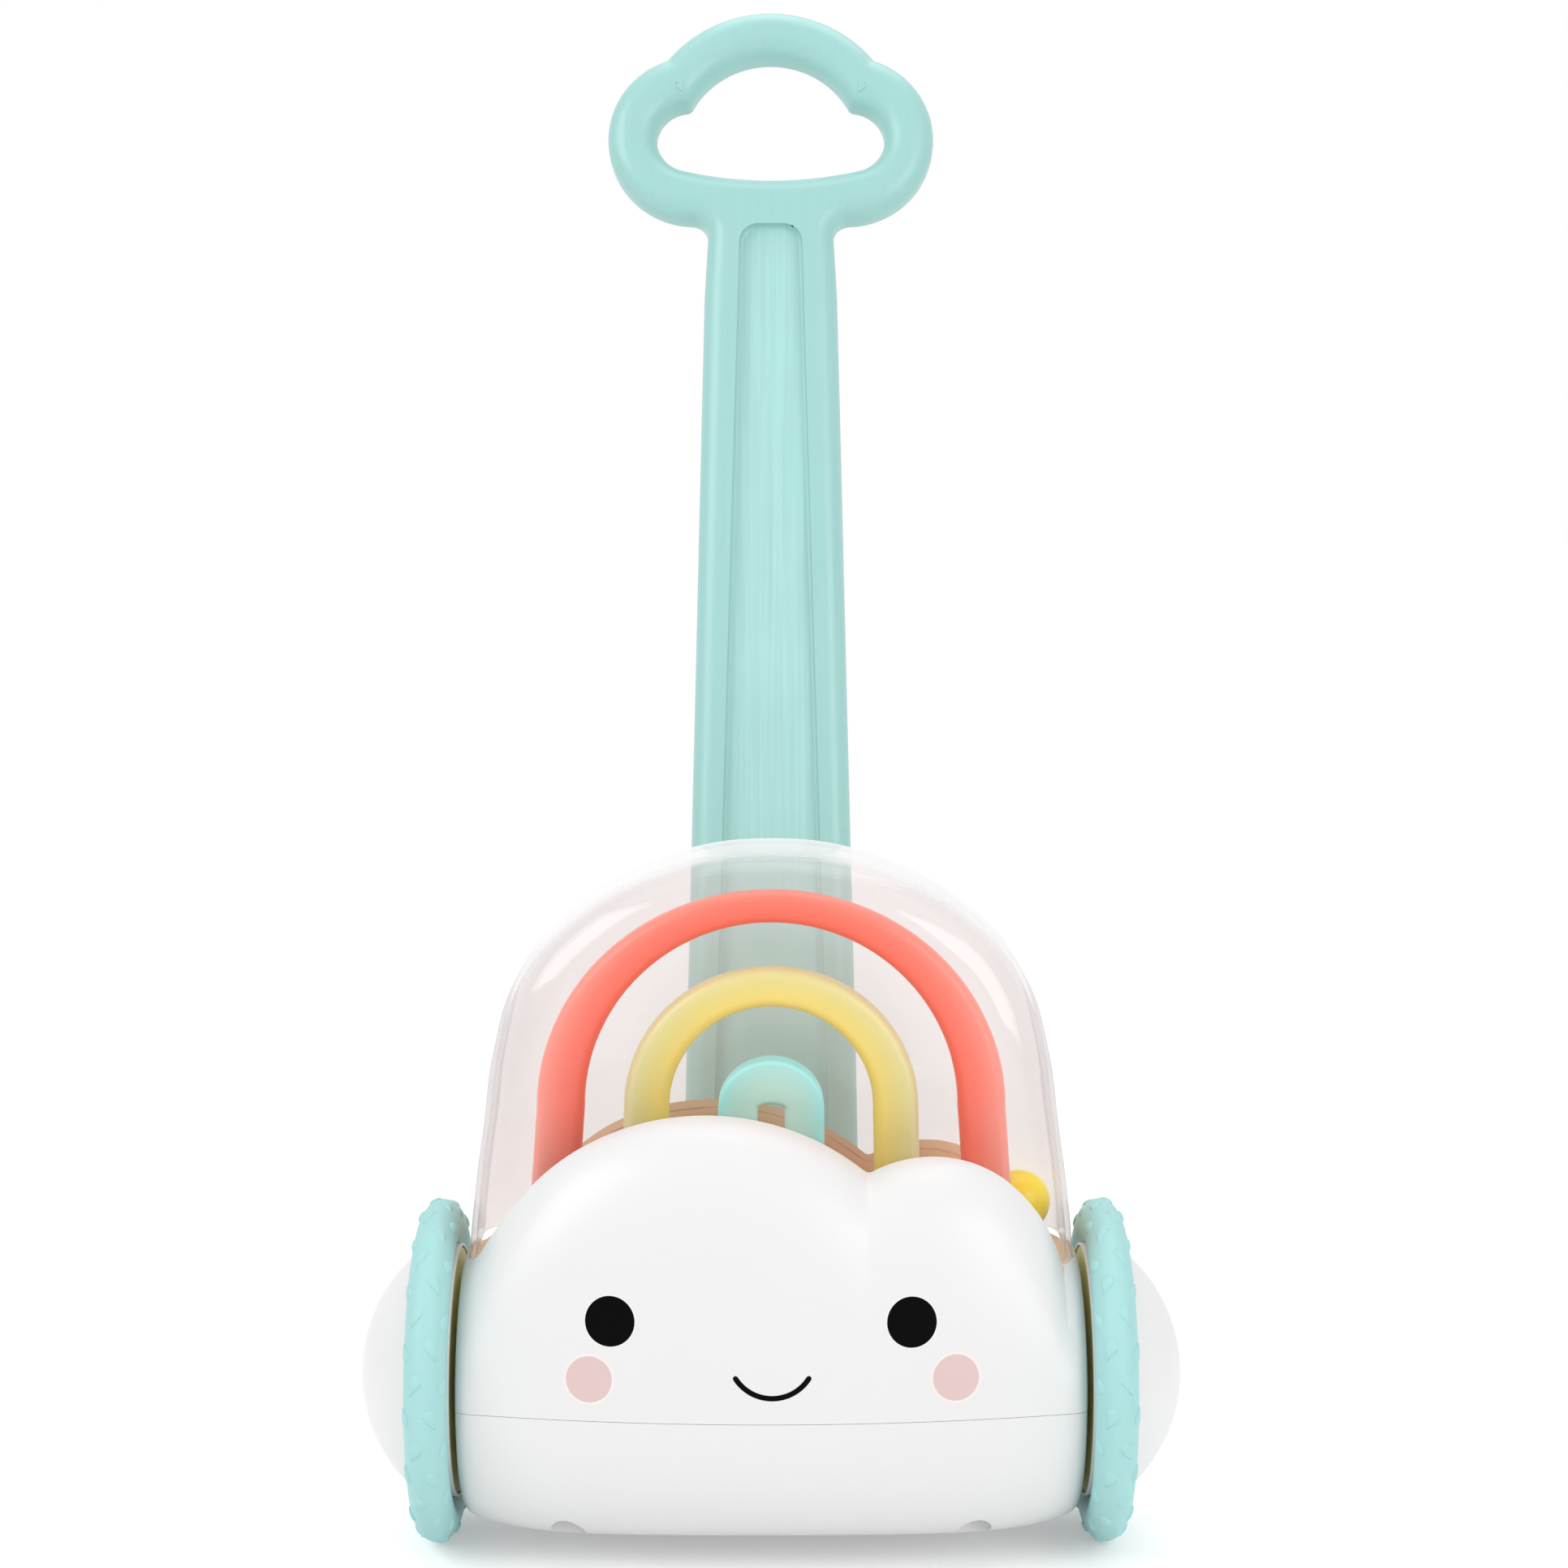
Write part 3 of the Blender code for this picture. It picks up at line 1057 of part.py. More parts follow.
def make_balls():
    """Loose balls on the deck, in the lanes before and behind the arches."""
    for name, (x_share, lane, colour) in BALL_SHARES.items():
        bm = bmesh.new()
        bmesh.ops.create_uvsphere(bm, u_segments=12, v_segments=7, radius=BALL_RADIUS)
        y = DOME_MID_Y + lane * BALL_LANE_Y
        add(name, bm, TOY, ROOT, colour, (DOME_HALF_WIDTH * x_share, y, DECK_TOP_Z + GAP + BALL_RADIUS))


def centre_footprint():
    """Moves the toy's root so that the origin is on the floor, in the middle of the footprint."""
    bpy.context.view_layer.update()
    graph = bpy.context.evaluated_depsgraph_get()
    reach = []
    for thing in TOY.objects:
        if thing.type == "MESH":
            solid = thing.evaluated_get(graph)
            reach += [(solid.matrix_world @ vertex.co).y for vertex in solid.data.vertices]
    ROOT.location.y -= (min(reach) + max(reach)) / 2
    bpy.context.view_layer.update()


make_housing()
make_dome()
make_deck()
make_arches()
make_paddle()
make_axle()
make_wheels()
make_handle()
make_balls()
centre_footprint()
for name in ("wheel_axis", "paddle_axis", "roller_axis_left", "roller_axis_right", "handle_frame"):
    place = bpy.data.objects[name].matrix_world.translation
    print(name, [round(value, 5) for value in place])
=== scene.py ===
"""Looks of the toddler push toy: fine skins over the solids, finishes, printed face, floor, light, camera."""

import math

import bmesh
import bpy
from mathutils import Matrix, Vector
from mathutils.bvhtree import BVHTree


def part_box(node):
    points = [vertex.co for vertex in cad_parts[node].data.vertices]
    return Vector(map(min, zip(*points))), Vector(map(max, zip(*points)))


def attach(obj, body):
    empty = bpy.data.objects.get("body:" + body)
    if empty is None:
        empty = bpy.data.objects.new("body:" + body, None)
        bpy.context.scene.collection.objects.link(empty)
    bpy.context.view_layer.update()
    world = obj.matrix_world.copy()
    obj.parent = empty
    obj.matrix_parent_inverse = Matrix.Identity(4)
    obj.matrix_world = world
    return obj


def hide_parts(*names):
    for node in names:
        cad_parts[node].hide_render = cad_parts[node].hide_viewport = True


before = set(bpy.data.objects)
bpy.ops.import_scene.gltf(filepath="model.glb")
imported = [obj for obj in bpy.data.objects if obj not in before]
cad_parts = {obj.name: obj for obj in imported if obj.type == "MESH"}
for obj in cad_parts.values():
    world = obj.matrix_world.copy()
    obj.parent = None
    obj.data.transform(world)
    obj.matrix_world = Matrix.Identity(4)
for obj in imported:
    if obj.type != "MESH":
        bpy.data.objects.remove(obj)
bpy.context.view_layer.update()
MM = 0.001

# The axle's middle, from which the part's source counts every size
low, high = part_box("axle")
AXLE = (low + high) / 2

# All sizes below are in millimetres from there, and most are those that the part's source names

# Housing: a lobe is the X and Z of its middle and its radius
HALF_WIDTH, WALL, END_ROUND, GAP, SEAM_Z = 99.7, 2.4, 3.5, 0.3, -1.2
END_RADIUS, END_TOP, END_BOTTOM = 43.3, 41.4, 45.3
FRONT_BULGE, REAR_BULGE, BELLY, FULLNESS = 11.7, 13.0, 0.4, 0.35
FRONT_CROWN, REAR_CROWN, KEEL_FRONT, KEEL_REAR = 20.0, 33.0, 24.0, 33.0
FRONT_LOBES = ((-21.2, 9.2, 80.8), (51.8, 35.2, 41.5))
REAR_LOBES = ((-19.8, 3.2, 79.7), (55.4, 25.4, 44.1))
BORE_RADIUS, LEDGE_X, LEDGE_LOW, LEDGE_HIGH = 7.3, 91.3, 34.1, 37.1
SCREW_X, SCREW_FRONT, SCREW_REAR = 64.5, -35, 36
POST_RADIUS, WELL_RADIUS, HEAD_RADIUS, PILOT_RADIUS = 4.2, 7.4, 5.6, 1.9
OUTSIDE_X, OUTSIDE_Y, OUTSIDE_LOW, OUTSIDE_HIGH = 105, 60, -60, 95

# Dome, deck, painted shade panel and arches: the dome's shares are of its half width and its height
DOME_MID, DOME_HALF_DEPTH, DOME_ROUND, DOME_WALL = 7.0, 30.5, 16.0, 1.8
DOME_HALF_WIDTH, DOME_FOOT, DOME_TOP = 97.8, 39.7, 172.7
DOME_SHARES = ((1.012, -0.3), (1, 0), (0.978, 0.175), (0.95, 0.324), (0.915, 0.507), (0.837, 0.689),
               (0.674, 0.829), (0.36, 0.956), (0, 1))
DECK_TOP, DECK_UNDER = 39.4, 37.4
SHADE_PANEL_FRONT, SHADE_PANEL_BACK, SHADE_PANEL_FOOT, SHADE_PANEL_HALF = 37.85, 38.85, 39.9, 88
ARCH_MID, ARCH_HALF_DEPTH = 86.2, 5.5

# Handle, upright before it leans: heights count from the socket's top
HANDLE_LEAN, HANDLE_HALF_DEPTH, HANDLE_EDGE = math.radians(15), 10, 8
SOCKET_Y, SOCKET_Z, SOCKET_WALL = 52, 67.4, 3.3
HANDLE_BASE = (0, SOCKET_Y + HANDLE_HALF_DEPTH * math.cos(HANDLE_LEAN),
               SOCKET_Z - HANDLE_HALF_DEPTH * math.sin(HANDLE_LEAN))
FOOT_HALF, NECK_HALF, TENON_FOOT, TENON_TOP = 30.3, 23.1, -44, -12
GRIP_TOP, GRIP_TOP_RADIUS, GRIP_SIDE, GRIP_SIDE_RADIUS = (0, 360.1), 48.6, (27.9, 360.3), 31.7
GRIP_NOTCH, NECK_ROUND = 1.5, 6
HOLE_TOP, HOLE_TOP_RADIUS, HOLE_SIDE, HOLE_SIDE_RADIUS = (0, 358.5), 31.8, (29.2, 360), 12
HOLE_NOTCH, HOLE_FLOOR = 3.5, 344.6
RECESS_TOP, RECESS_FOOT, RECESS_TOP_HALF, RECESS_FOOT_HALF = 326, -6, 11.4, 20
RECESS_CORNER, RECESS_DEPTH = 7, 3.5
POCKETS, POCKET_LOW, POCKET_HIGH, RIB = 5, 4, 318, 2.4
POCKET_LOW_HALF, POCKET_HIGH_HALF, POCKET_FRONT = 20.5, 13, -3.9
HANDLE_SCREWS, HANDLE_SCREW_HEIGHT = (-15, 15), -28

# Wheels: profiles are radius and height from the wheel's middle plane
WHEEL_X = 108.35
TYRE_RADIUS, TYRE_SHOULDER, TYRE_HALF = 55.25, 46.6, 6.8
TYRE_BEAD = [(41.1, 5), (41.3, 5.2), (43.4, 5.4), (45.2, 6.5)]
CUP = [(39.9, 4.6), (40.8, 4.6), (40.8, -6.75), (39.9, -6.75), (39.9, -1), (8, -1), (8, -6.2), (3.3, -6.2),
       (3.3, 6), (8, 6), (8, 1), (39.9, 1)]
CUP_INSIDE, CUP_FLOOR = 39.95, 0.6
INNER_COVER = [(8.3, -3.05), (39.6, -3.05), (39.6, -6.2), (8.3, -6.2)]
HUB_RADIUS, HUB_WALL, HUB_FOOT, HUB_POLE, HUB_INSIDE = 49.83, 2, 4.9, 25.69, 23.7
DROP_LENGTH, DROP_WIDTH, DROPS_ROUND = 6.9, 4.4, 16
# Rows of drops: how far each leans from the crown, and which way its tips point
DROP_ROWS = ((-0.34, 1), (0.34, 1), (-1.02, -1), (1.02, -1))
DROP_RINGS = ((1.06, -0.2), (1.0, 0.0), (0.95, 0.2), (0.85, 0.44), (0.67, 0.6), (0.4, 0.7), (0.15, 0.73))

BALL_RADIUS = 10.5
ROLLER_X, ROLLER_MIDDLE, ROLLER_RADIUS, ROLLER_HALF, ROLLER_BORE = 40, (49, -49.5), 6.5, 6, 1.8
EAR_RADIUS, EAR_INSIDE, EAR_OUTSIDE = 3.7, 6.5, 9.3

# Printed face: places in X and Z, and how far each layer of ink stands proud
EYES = (("left", (-50.2, 30.6)), ("right", (43.7, 30.3)))
CHEEKS = (("left", (-56.8, 12.2)), ("right", (57.5, 12.6)))
SMILE_END, SMILE_MIDDLE, SMILE_STROKE = (11.6, 13.45), (0.25, 7.2), 0.85
UNDERLAY_HEIGHT, INK_HEIGHT, INK_SUNK = 0.03, 0.06, -0.1

# Points closer than this are one, on solids and on outlines
SAME, SAME_ON_OUTLINE = 0.002, 0.005


# ---- Meshes ----

def mesh_object(name, bm):
    mesh = bpy.data.meshes.new(name)
    bm.to_mesh(mesh)
    bm.free()
    thing = bpy.data.objects.new(name, mesh)
    bpy.context.scene.collection.objects.link(thing)
    return thing


def piece(name, bm, body, finish, nodes=(), sharp=30):
    """A finished piece: millimetres from the axle become metres in the row frame."""
    bmesh.ops.scale(bm, vec=(MM, MM, MM), verts=bm.verts)
    bmesh.ops.translate(bm, vec=AXLE, verts=bm.verts)
    thing = mesh_object(name, bm)
    thing.data.shade_smooth()
    thing.data.set_sharp_from_angle(angle=math.radians(sharp))
    for one in finish if isinstance(finish, list) else [finish]:
        thing.data.materials.append(one)
    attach(thing, body)
    if nodes:
        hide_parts(*nodes)
    return thing


def carved(bm, *steps):
    """The solid after Boolean steps, each a bmesh with its operation."""
    target = mesh_object("target", bm)
    tools = []
    for solid, operation in steps:
        tool = mesh_object("tool", solid)
        cut = target.modifiers.new("cut", "BOOLEAN")
        cut.object = tool
        cut.operation = operation
        tools.append(tool)
    graph = bpy.context.evaluated_depsgraph_get()
    mesh = bpy.data.meshes.new_from_object(target.evaluated_get(graph))
    result = bmesh.new()
    result.from_mesh(mesh)
    bmesh.ops.remove_doubles(result, verts=result.verts, dist=SAME)
    bmesh.ops.dissolve_degenerate(result, edges=result.edges, dist=SAME)
    for thing in [target] + tools:
        bpy.data.objects.remove(thing)
    return result


def box(low, high):
    bm = bmesh.new()
    bmesh.ops.create_cube(bm, size=1)
    low, high = Vector(low), Vector(high)
    bmesh.ops.scale(bm, vec=high - low, verts=bm.verts)
    bmesh.ops.translate(bm, vec=(low + high) / 2, verts=bm.verts)
    return bm


TURNS = {"X": Matrix.Rotation(math.pi / 2, 4, "Y"), "Y": Matrix.Rotation(-math.pi / 2, 4, "X"), "Z": Matrix()}


def rod(radius, start, end, axis="Z", centre=(0, 0, 0), steps=48):
    bm = bmesh.new()
    bmesh.ops.create_cone(bm, cap_ends=True, segments=steps, radius1=radius, radius2=radius,
                          depth=end - start)
    bmesh.ops.translate(bm, vec=(0, 0, (start + end) / 2), verts=bm.verts)
    bmesh.ops.transform(bm, matrix=Matrix.Translation(centre) @ TURNS[axis], verts=bm.verts)
    return bm


def together(*solids):
    """Several bmeshes as one."""
    whole = bmesh.new()
    for solid in solids:
        mesh = bpy.data.meshes.new("solid")
        solid.to_mesh(mesh)
        solid.free()
        whole.from_mesh(mesh)
        bpy.data.meshes.remove(mesh)
    return whole


def ring(bm, points):
    """A closed loop of edges through these points."""
    verts = [bm.verts.new(point) for point in points]
    return [bm.edges.new(pair) for pair in zip(verts, verts[1:] + verts[:1])]


def bridged(bm, rings):
    """A skin over rings of equally many points, closed at both ends."""
    for near, far in zip(rings, rings[1:]):
        bmesh.ops.bridge_loops(bm, edges=near + far)
    for end in (rings[0], rings[-1]):
        bmesh.ops.edgeloop_fill(bm, edges=end)


def lofted(sections):
    bm = bmesh.new()
    bridged(bm, [ring(bm, section) for section in sections])
    bmesh.ops.remove_doubles(bm, verts=bm.verts, dist=SAME)
    bmesh.ops.triangulate(bm, faces=bm.faces)
    bmesh.ops.recalc_face_normals(bm, faces=bm.faces)
    return bm


def raised(outline, levels, place):
    """A low relief: rings of the outline, each (scale, height), laid on a surface by place, which gives the
    spot of a point and the way out of the surface."""
    bm = bmesh.new()
    rings = []
    for scale, height in levels:
        points = []
        for across, up in outline:
            spot, outwards = place(across * scale, up * scale)
            points.append(spot + outwards * height)
        rings.append(ring(bm, points))
    bridged(bm, rings)
    bmesh.ops.recalc_face_normals(bm, faces=bm.faces)
    return bm


def rounded_curve(half_thickness, round_radius, round_steps, grow):
    """A flat curve, still without outlines, that gets a thickness with round edges."""
    curve = bpy.data.curves.new("outline", "CURVE")
    curve.dimensions = "2D"
    curve.fill_mode = "BOTH"
    curve.extrude = half_thickness - round_radius
    curve.bevel_depth = round_radius + grow
    curve.bevel_resolution = round_steps - 1
    curve.offset = -round_radius
    return curve


def upright(curve):
    """The curve's solid, turned so that its outlines stand in X and Z and its thickness lies along Y."""
    holder = bpy.data.objects.new("outline", curve)
    bpy.context.scene.collection.objects.link(holder)
    graph = bpy.context.evaluated_depsgraph_get()
    mesh = bpy.data.meshes.new_from_object(holder.evaluated_get(graph))
    bm = bmesh.new()
    bm.from_mesh(mesh)
    bpy.data.objects.remove(holder)
    bmesh.ops.remove_doubles(bm, verts=bm.verts, dist=SAME_ON_OUTLINE)
    bmesh.ops.dissolve_degenerate(bm, edges=bm.edges, dist=SAME_ON_OUTLINE)
    bmesh.ops.rotate(bm, matrix=Matrix.Rotation(math.pi / 2, 3, "X"), verts=bm.verts)
    bmesh.ops.recalc_face_normals(bm, faces=bm.faces)
    return bm


def flat_solid(outlines, half_thickness, round_radius, round_steps, grow=0.0):
    """Outlines in X and Z, the second ones holes, given a thickness along Y with round edges."""
    curve = rounded_curve(half_thickness, round_radius, round_steps, grow)
    for outline in outlines:
        spline = curve.splines.new("POLY")
        spline.points.add(len(outline) - 1)
        for point, (across, up) in zip(spline.points, outline):
            point.co = (across, up, 0, 1)
        spline.use_cyclic_u = True
    return upright(curve)


def lathe(points, axis, steps, closed):
    """A row of points, closed or open, turned fully about an axis through the middle."""
    bm = bmesh.new()
    verts = [bm.verts.new(point) for point in points]
    pairs = list(zip(verts, verts[1:])) + ([(verts[-1], verts[0])] if closed else [])
    edges = [bm.edges.new(pair) for pair in pairs]
    bmesh.ops.spin(bm, geom=verts + edges, cent=(0, 0, 0), axis=axis, angle=2 * math.pi, steps=steps,
                   use_merge=True)
    bmesh.ops.remove_doubles(bm, verts=bm.verts, dist=SAME)
    bmesh.ops.recalc_face_normals(bm, faces=bm.faces)
    return bm


def spun(profile, side, steps=144, closed=True):
    """A wheel part: radius and height from the wheel's middle plane, turned about the axle."""
    points = [(side * (WHEEL_X + height), 0, radius) for radius, height in profile]
    return lathe(points, (1, 0, 0), steps, closed)


# ---- Outlines ----

def arc(centre, radius, start, end, steps):
    angles = [start + (end - start) * i / steps for i in range(steps + 1)]
    return [(centre[0] + radius * math.cos(a), centre[1] + radius * math.sin(a)) for a in angles]


def heading(start, end):
    return math.atan2(end[1] - start[1], end[0] - start[0])


def crossing(first, first_radius, second, second_radius):
    """Where two circles cross, on the side away from the middle plane."""
    apart = math.dist(first, second)
    along = (apart**2 + first_radius**2 - second_radius**2) / (2 * apart)
    aside = math.sqrt(first_radius**2 - along**2)
    turn = heading(first, second)
    return (first[0] + along * math.cos(turn) - aside * math.sin(turn),
            first[1] + along * math.sin(turn) + aside * math.cos(turn))


def notched(top, top_radius, side, side_radius, notch_radius, top_steps):
    """Half a cloud's edge from its top to its side lobe, with a round notch between them; and the notch."""
    notch = crossing(top, top_radius + notch_radius, side, side_radius + notch_radius)
    half = arc(top, top_radius, math.pi / 2, heading(top, notch), top_steps)
    start, end = heading(notch, top) + 2 * math.pi, heading(notch, side) + 2 * math.pi
    return half + arc(notch, notch_radius, start, end, 8)[1:-1], notch


def mirrored(half):
    return half + [(-across, up) for across, up in reversed(half) if across > 0.01]


def rounded_profile(points, radius, steps=4):
    """A closed profile with each corner rounded, or as far as its sides allow."""
    result = []
    count = len(points)
    for i in range(count):
        before, corner, after = (Vector(points[(i + k) % count]) for k in (-1, 0, 1))
        one, two = before - corner, after - corner
        reach = min(radius, one.length * 0.45, two.length * 0.45)
        start, end = corner + one.normalized() * reach, corner + two.normalized() * reach
        for step in range(steps + 1):
            t = step / steps
            result.append(tuple(start * (1 - t) ** 2 + corner * 2 * t * (1 - t) + end * t * t))
    return result


# ---- Finishes ----

def nodes_for(name):
    skin = bpy.data.materials.new(name)
    skin.use_nodes = True
    tree = skin.node_tree
    return skin, tree, tree.nodes["Principled BSDF"]


def add_node(tree, kind, settings=None, **inputs):
    """A node with its settings and inputs, each input by its name, or by i and its number."""
    node = tree.nodes.new(kind)
    for key, value in (settings or {}).items():
        setattr(node, key, value)
    for key, value in inputs.items():
        numbered = key[0] == "i" and key[1:].isdigit()
        socket = node.inputs[int(key[1:]) if numbered else key.replace("_", " ")]
        if isinstance(value, bpy.types.NodeSocket):
            tree.links.new(value, socket)
        else:
            socket.default_value = value
    return node


def maths(tree, kind, operation, values):
    inputs = {f"i{number}": value for number, value in enumerate(values)}
    return add_node(tree, kind, {"operation": operation}, **inputs)


def counted(tree, operation, *values):
    return maths(tree, "ShaderNodeMath", operation, values).outputs[0]


def vectors(tree, operation, *values):
    """Vector maths, which gives a vector, or a number for a length or a distance."""
    node = maths(tree, "ShaderNodeVectorMath", operation, values)
    return node.outputs["Value" if operation in ("LENGTH", "DISTANCE") else "Vector"]


def ranged(tree, value, **ends):
    return add_node(tree, "ShaderNodeMapRange", Value=value, **ends).outputs["Result"]


def noise(tree, place, scale, detail):
    return add_node(tree, "ShaderNodeTexNoise", Vector=place, Scale=scale, Detail=detail).outputs["Fac"]


def tinted(tree, share, first, second, kind="MIX"):
    settings = {"data_type": "RGBA", "blend_type": kind}
    return add_node(tree, "ShaderNodeMix", settings, Factor=share, i6=first, i7=second).outputs[2]


def layered(tree, share, first, second):
    return add_node(tree, "ShaderNodeMixShader", i0=share, i1=first, i2=second).outputs[0]


def bumped(tree, shader, height, strength, distance=0.0004):
    bump = add_node(tree, "ShaderNodeBump", Strength=strength, Distance=distance, Height=height)
    tree.links.new(bump.outputs["Normal"], shader.inputs["Normal"])


def ramp(tree, value, stops):
    """Colours between stops of place and colour."""
    node = add_node(tree, "ShaderNodeValToRGB", Fac=value)
    points = node.color_ramp.elements
    while len(points) < len(stops):
        points.new(0.5)
    for point, (place, colour) in zip(points, stops):
        point.position = place
        point.color = (*colour, 1)
    return node.outputs["Color"]


def band_colour_and_sheen(inside, outside, stops):
    """The colour across an arch's band, from its inner to its outer edge, and straight down its legs: its own
    colour towards the inner edge, turning paler or brighter towards the outer edge as a painted sheen.
    """
    def blend(tree, place):
        middle = (AXLE.x, 0, AXLE.z + ARCH_MID * MM)
        flat = vectors(tree, "MULTIPLY", place, (1, 0, 1))
        # Whatever lies lower counts as level with the arch's middle
        level = vectors(tree, "MAXIMUM", flat, (-9, 0, middle[2]))
        away = vectors(tree, "DISTANCE", level, middle)
        return ramp(tree, ranged(tree, away, From_Min=inside * MM, From_Max=outside * MM), stops)

    return blend


def moulded(name, colour, roughness, grain=0.02, grain_scale=900.0, tint=0.03, blend=None, **sockets):
    """Moulded plastic: faint clouding of the colour, gloss that wanders a little, and a fine skin of grain.
    A blend is a function that gives the colour of a place instead."""
    skin, tree, shader = nodes_for(name)
    place = add_node(tree, "ShaderNodeTexCoord").outputs["Object"]
    cloud = noise(tree, place, 28.0, 3.0)
    plain = blend(tree, place) if blend else (*colour, 1)
    dim = tinted(tree, cloud, (1 - tint, 1 - tint, 1 - tint, 1), (1, 1, 1, 1))
    tree.links.new(tinted(tree, 1.0, plain, dim, "MULTIPLY"), shader.inputs["Base Color"])
    gloss = ranged(tree, cloud, To_Min=max(roughness - 0.06, 0.02), To_Max=roughness + 0.06)
    tree.links.new(gloss, shader.inputs["Roughness"])
    bumped(tree, shader, noise(tree, place, grain_scale, 2.0), grain)
    for key, value in sockets.items():
        shader.inputs[key.replace("_", " ")].default_value = value
    return skin


# How the clear plastic tints what lies behind it, from faces seen square to faces seen edge-on
CLEAR_FRONT = ((0.0, (0.985, 0.977, 0.977)), (0.75, (0.975, 0.967, 0.97)), (1.0, (0.7, 0.68, 0.72)))
CLEAR_REAR = ((0.0, (0.955, 0.945, 0.945)), (0.75, (0.955, 0.945, 0.95)), (1.0, (0.7, 0.68, 0.72)))
# How much milky veil the rear wall gets: real haze plus a painted reflection of the chamber
REAR_HAZE_AND_PAINTED_REFLECTION = 0.15


def clear_plastic():
    """Clear polished plastic, thin enough to show things unbent, denser and glossier towards its rims, with a
    painted highlight on its crown's rim and painted shade on its two flanks.
    """
    skin, tree, shader = nodes_for("clear_dome_plastic")
    place = add_node(tree, "ShaderNodeTexCoord").outputs["Object"]
    wave = noise(tree, place, 14.0, 1.0)
    tree.links.new(ranged(tree, wave, To_Min=0.03, To_Max=0.1), shader.inputs["Roughness"])
    bumped(tree, shader, wave, 0.05, 0.001)
    shader.inputs["Metallic"].default_value = 1
    facing = add_node(tree, "ShaderNodeLayerWeight", Blend=0.5).outputs["Facing"]
    geometry = add_node(tree, "ShaderNodeNewGeometry")
    normal = add_node(tree, "ShaderNodeSeparateXYZ", Vector=geometry.outputs["Normal"])
    depth = add_node(tree, "ShaderNodeSeparateXYZ", Vector=place).outputs["Y"]
    rear = ranged(tree, depth, From_Min=AXLE.y + 0.012, From_Max=AXLE.y + 0.032)

    # What is seen through it, and the gloss that grows towards its rims; on its two flanks the gloss is
    # painted darker, a painted shade line along the rim
    tint = tinted(tree, rear, ramp(tree, facing, CLEAR_FRONT), ramp(tree, facing, CLEAR_REAR))
    seen = add_node(tree, "ShaderNodeBsdfTransparent", Color=tint).outputs[0]
    gloss = ranged(tree, counted(tree, "POWER", facing, 5.0), To_Min=0.025, To_Max=0.8)
    flank_shade_mask = ranged(tree, counted(tree, "ABSOLUTE", normal.outputs["X"]), From_Min=0.7, From_Max=0.95)
    line = ranged(tree, facing, From_Min=0.72, From_Max=0.9)
    mirror = tinted(tree, counted(tree, "MULTIPLY", flank_shade_mask, line), (1, 1, 1, 1), (0.5, 0.48, 0.52, 1))
    tree.links.new(mirror, shader.inputs["Base Color"])
    glassy = layered(tree, gloss, seen, shader.outputs[0])

    # A faint milky veil on its crown's rim and its rear wall: real haze, laid on thicker as a painted
    # highlight on the crown and a painted reflection on the rear wall
    crown = ranged(tree, normal.outputs["Z"], From_Min=0.2, From_Max=0.9, To_Min=0.25, To_Max=0.95)
    rim = counted(tree, "MULTIPLY", counted(tree, "POWER", facing, 4.0), crown)
    haze_and_painted_sheen = counted(tree, "MULTIPLY_ADD", rear, REAR_HAZE_AND_PAINTED_REFLECTION, rim)
    milk = add_node(tree, "ShaderNodeBsdfDiffuse", Color=(0.95, 0.94, 0.94, 1)).outputs[0]
    looks = layered(tree, haze_and_painted_sheen, glassy, milk)

    # Light itself goes straight through
    path = add_node(tree, "ShaderNodeLightPath")
    light = counted(tree, "MAXIMUM", path.outputs["Is Shadow Ray"], path.outputs["Is Diffuse Ray"])
    through = add_node(tree, "ShaderNodeBsdfTransparent", Color=(0.99, 0.99, 0.99, 1)).outputs[0]
    final = layered(tree, light, looks, through)
    tree.links.new(final, tree.nodes["Material Output"].inputs["Surface"])
    return skin


def streaked(name, colour, roughness, contrast=0.03):
    """The handle's satin plastic: fine flow streaks along its length."""
    skin, tree, shader = nodes_for(name)
    place = add_node(tree, "ShaderNodeTexCoord").outputs["Object"]
    along = add_node(tree, "ShaderNodeMapping", {"vector_type": "TEXTURE"}, Vector=place,
                     Rotation=(-HANDLE_LEAN, 0, 0), Scale=(1, 1, 60))
    lines = noise(tree, along.outputs[0], 850.0, 3.0)
    cloud = noise(tree, place, 20.0, 3.0)
    share = ranged(tree, counted(tree, "MULTIPLY_ADD", lines, 2.0, cloud), From_Min=1.1, From_Max=1.9)
    darker = tuple(channel * (1 - contrast) for channel in colour) + (1,)
    tree.links.new(tinted(tree, share, darker, (*colour, 1)), shader.inputs["Base Color"])
    gloss = ranged(tree, cloud, To_Min=roughness - 0.06, To_Max=roughness + 0.06)
    tree.links.new(gloss, shader.inputs["Roughness"])
    bumped(tree, shader, lines, 0.12)
    return skin


def turned_steel():
    skin, tree, shader = nodes_for("turned_steel")
    place = add_node(tree, "ShaderNodeTexCoord").outputs["Object"]
    gloss = ranged(tree, noise(tree, place, 1500.0, 2.0), To_Min=0.2, To_Max=0.38)
    tree.links.new(gloss, shader.inputs["Roughness"])
    shader.inputs["Base Color"].default_value = (0.62, 0.62, 0.62, 1)
    shader.inputs["Metallic"].default_value = 1
    return skin


def frosted(name, inside, outside, stops, glow):
    """An arch's frosted plastic, which light enters a little way."""
    band = band_colour_and_sheen(inside, outside, stops)
    return moulded(name, None, 0.36, tint=0.05, blend=band, Subsurface_Weight=0.35, Subsurface_Radius=glow,
                   Subsurface_Scale=0.004)


def glossy(name, colour, **sockets):
    """A popper ball's plastic under its thin bright coat."""
    return moulded(name, colour, 0.12, grain=0.01, Coat_Roughness=0.05, **sockets)


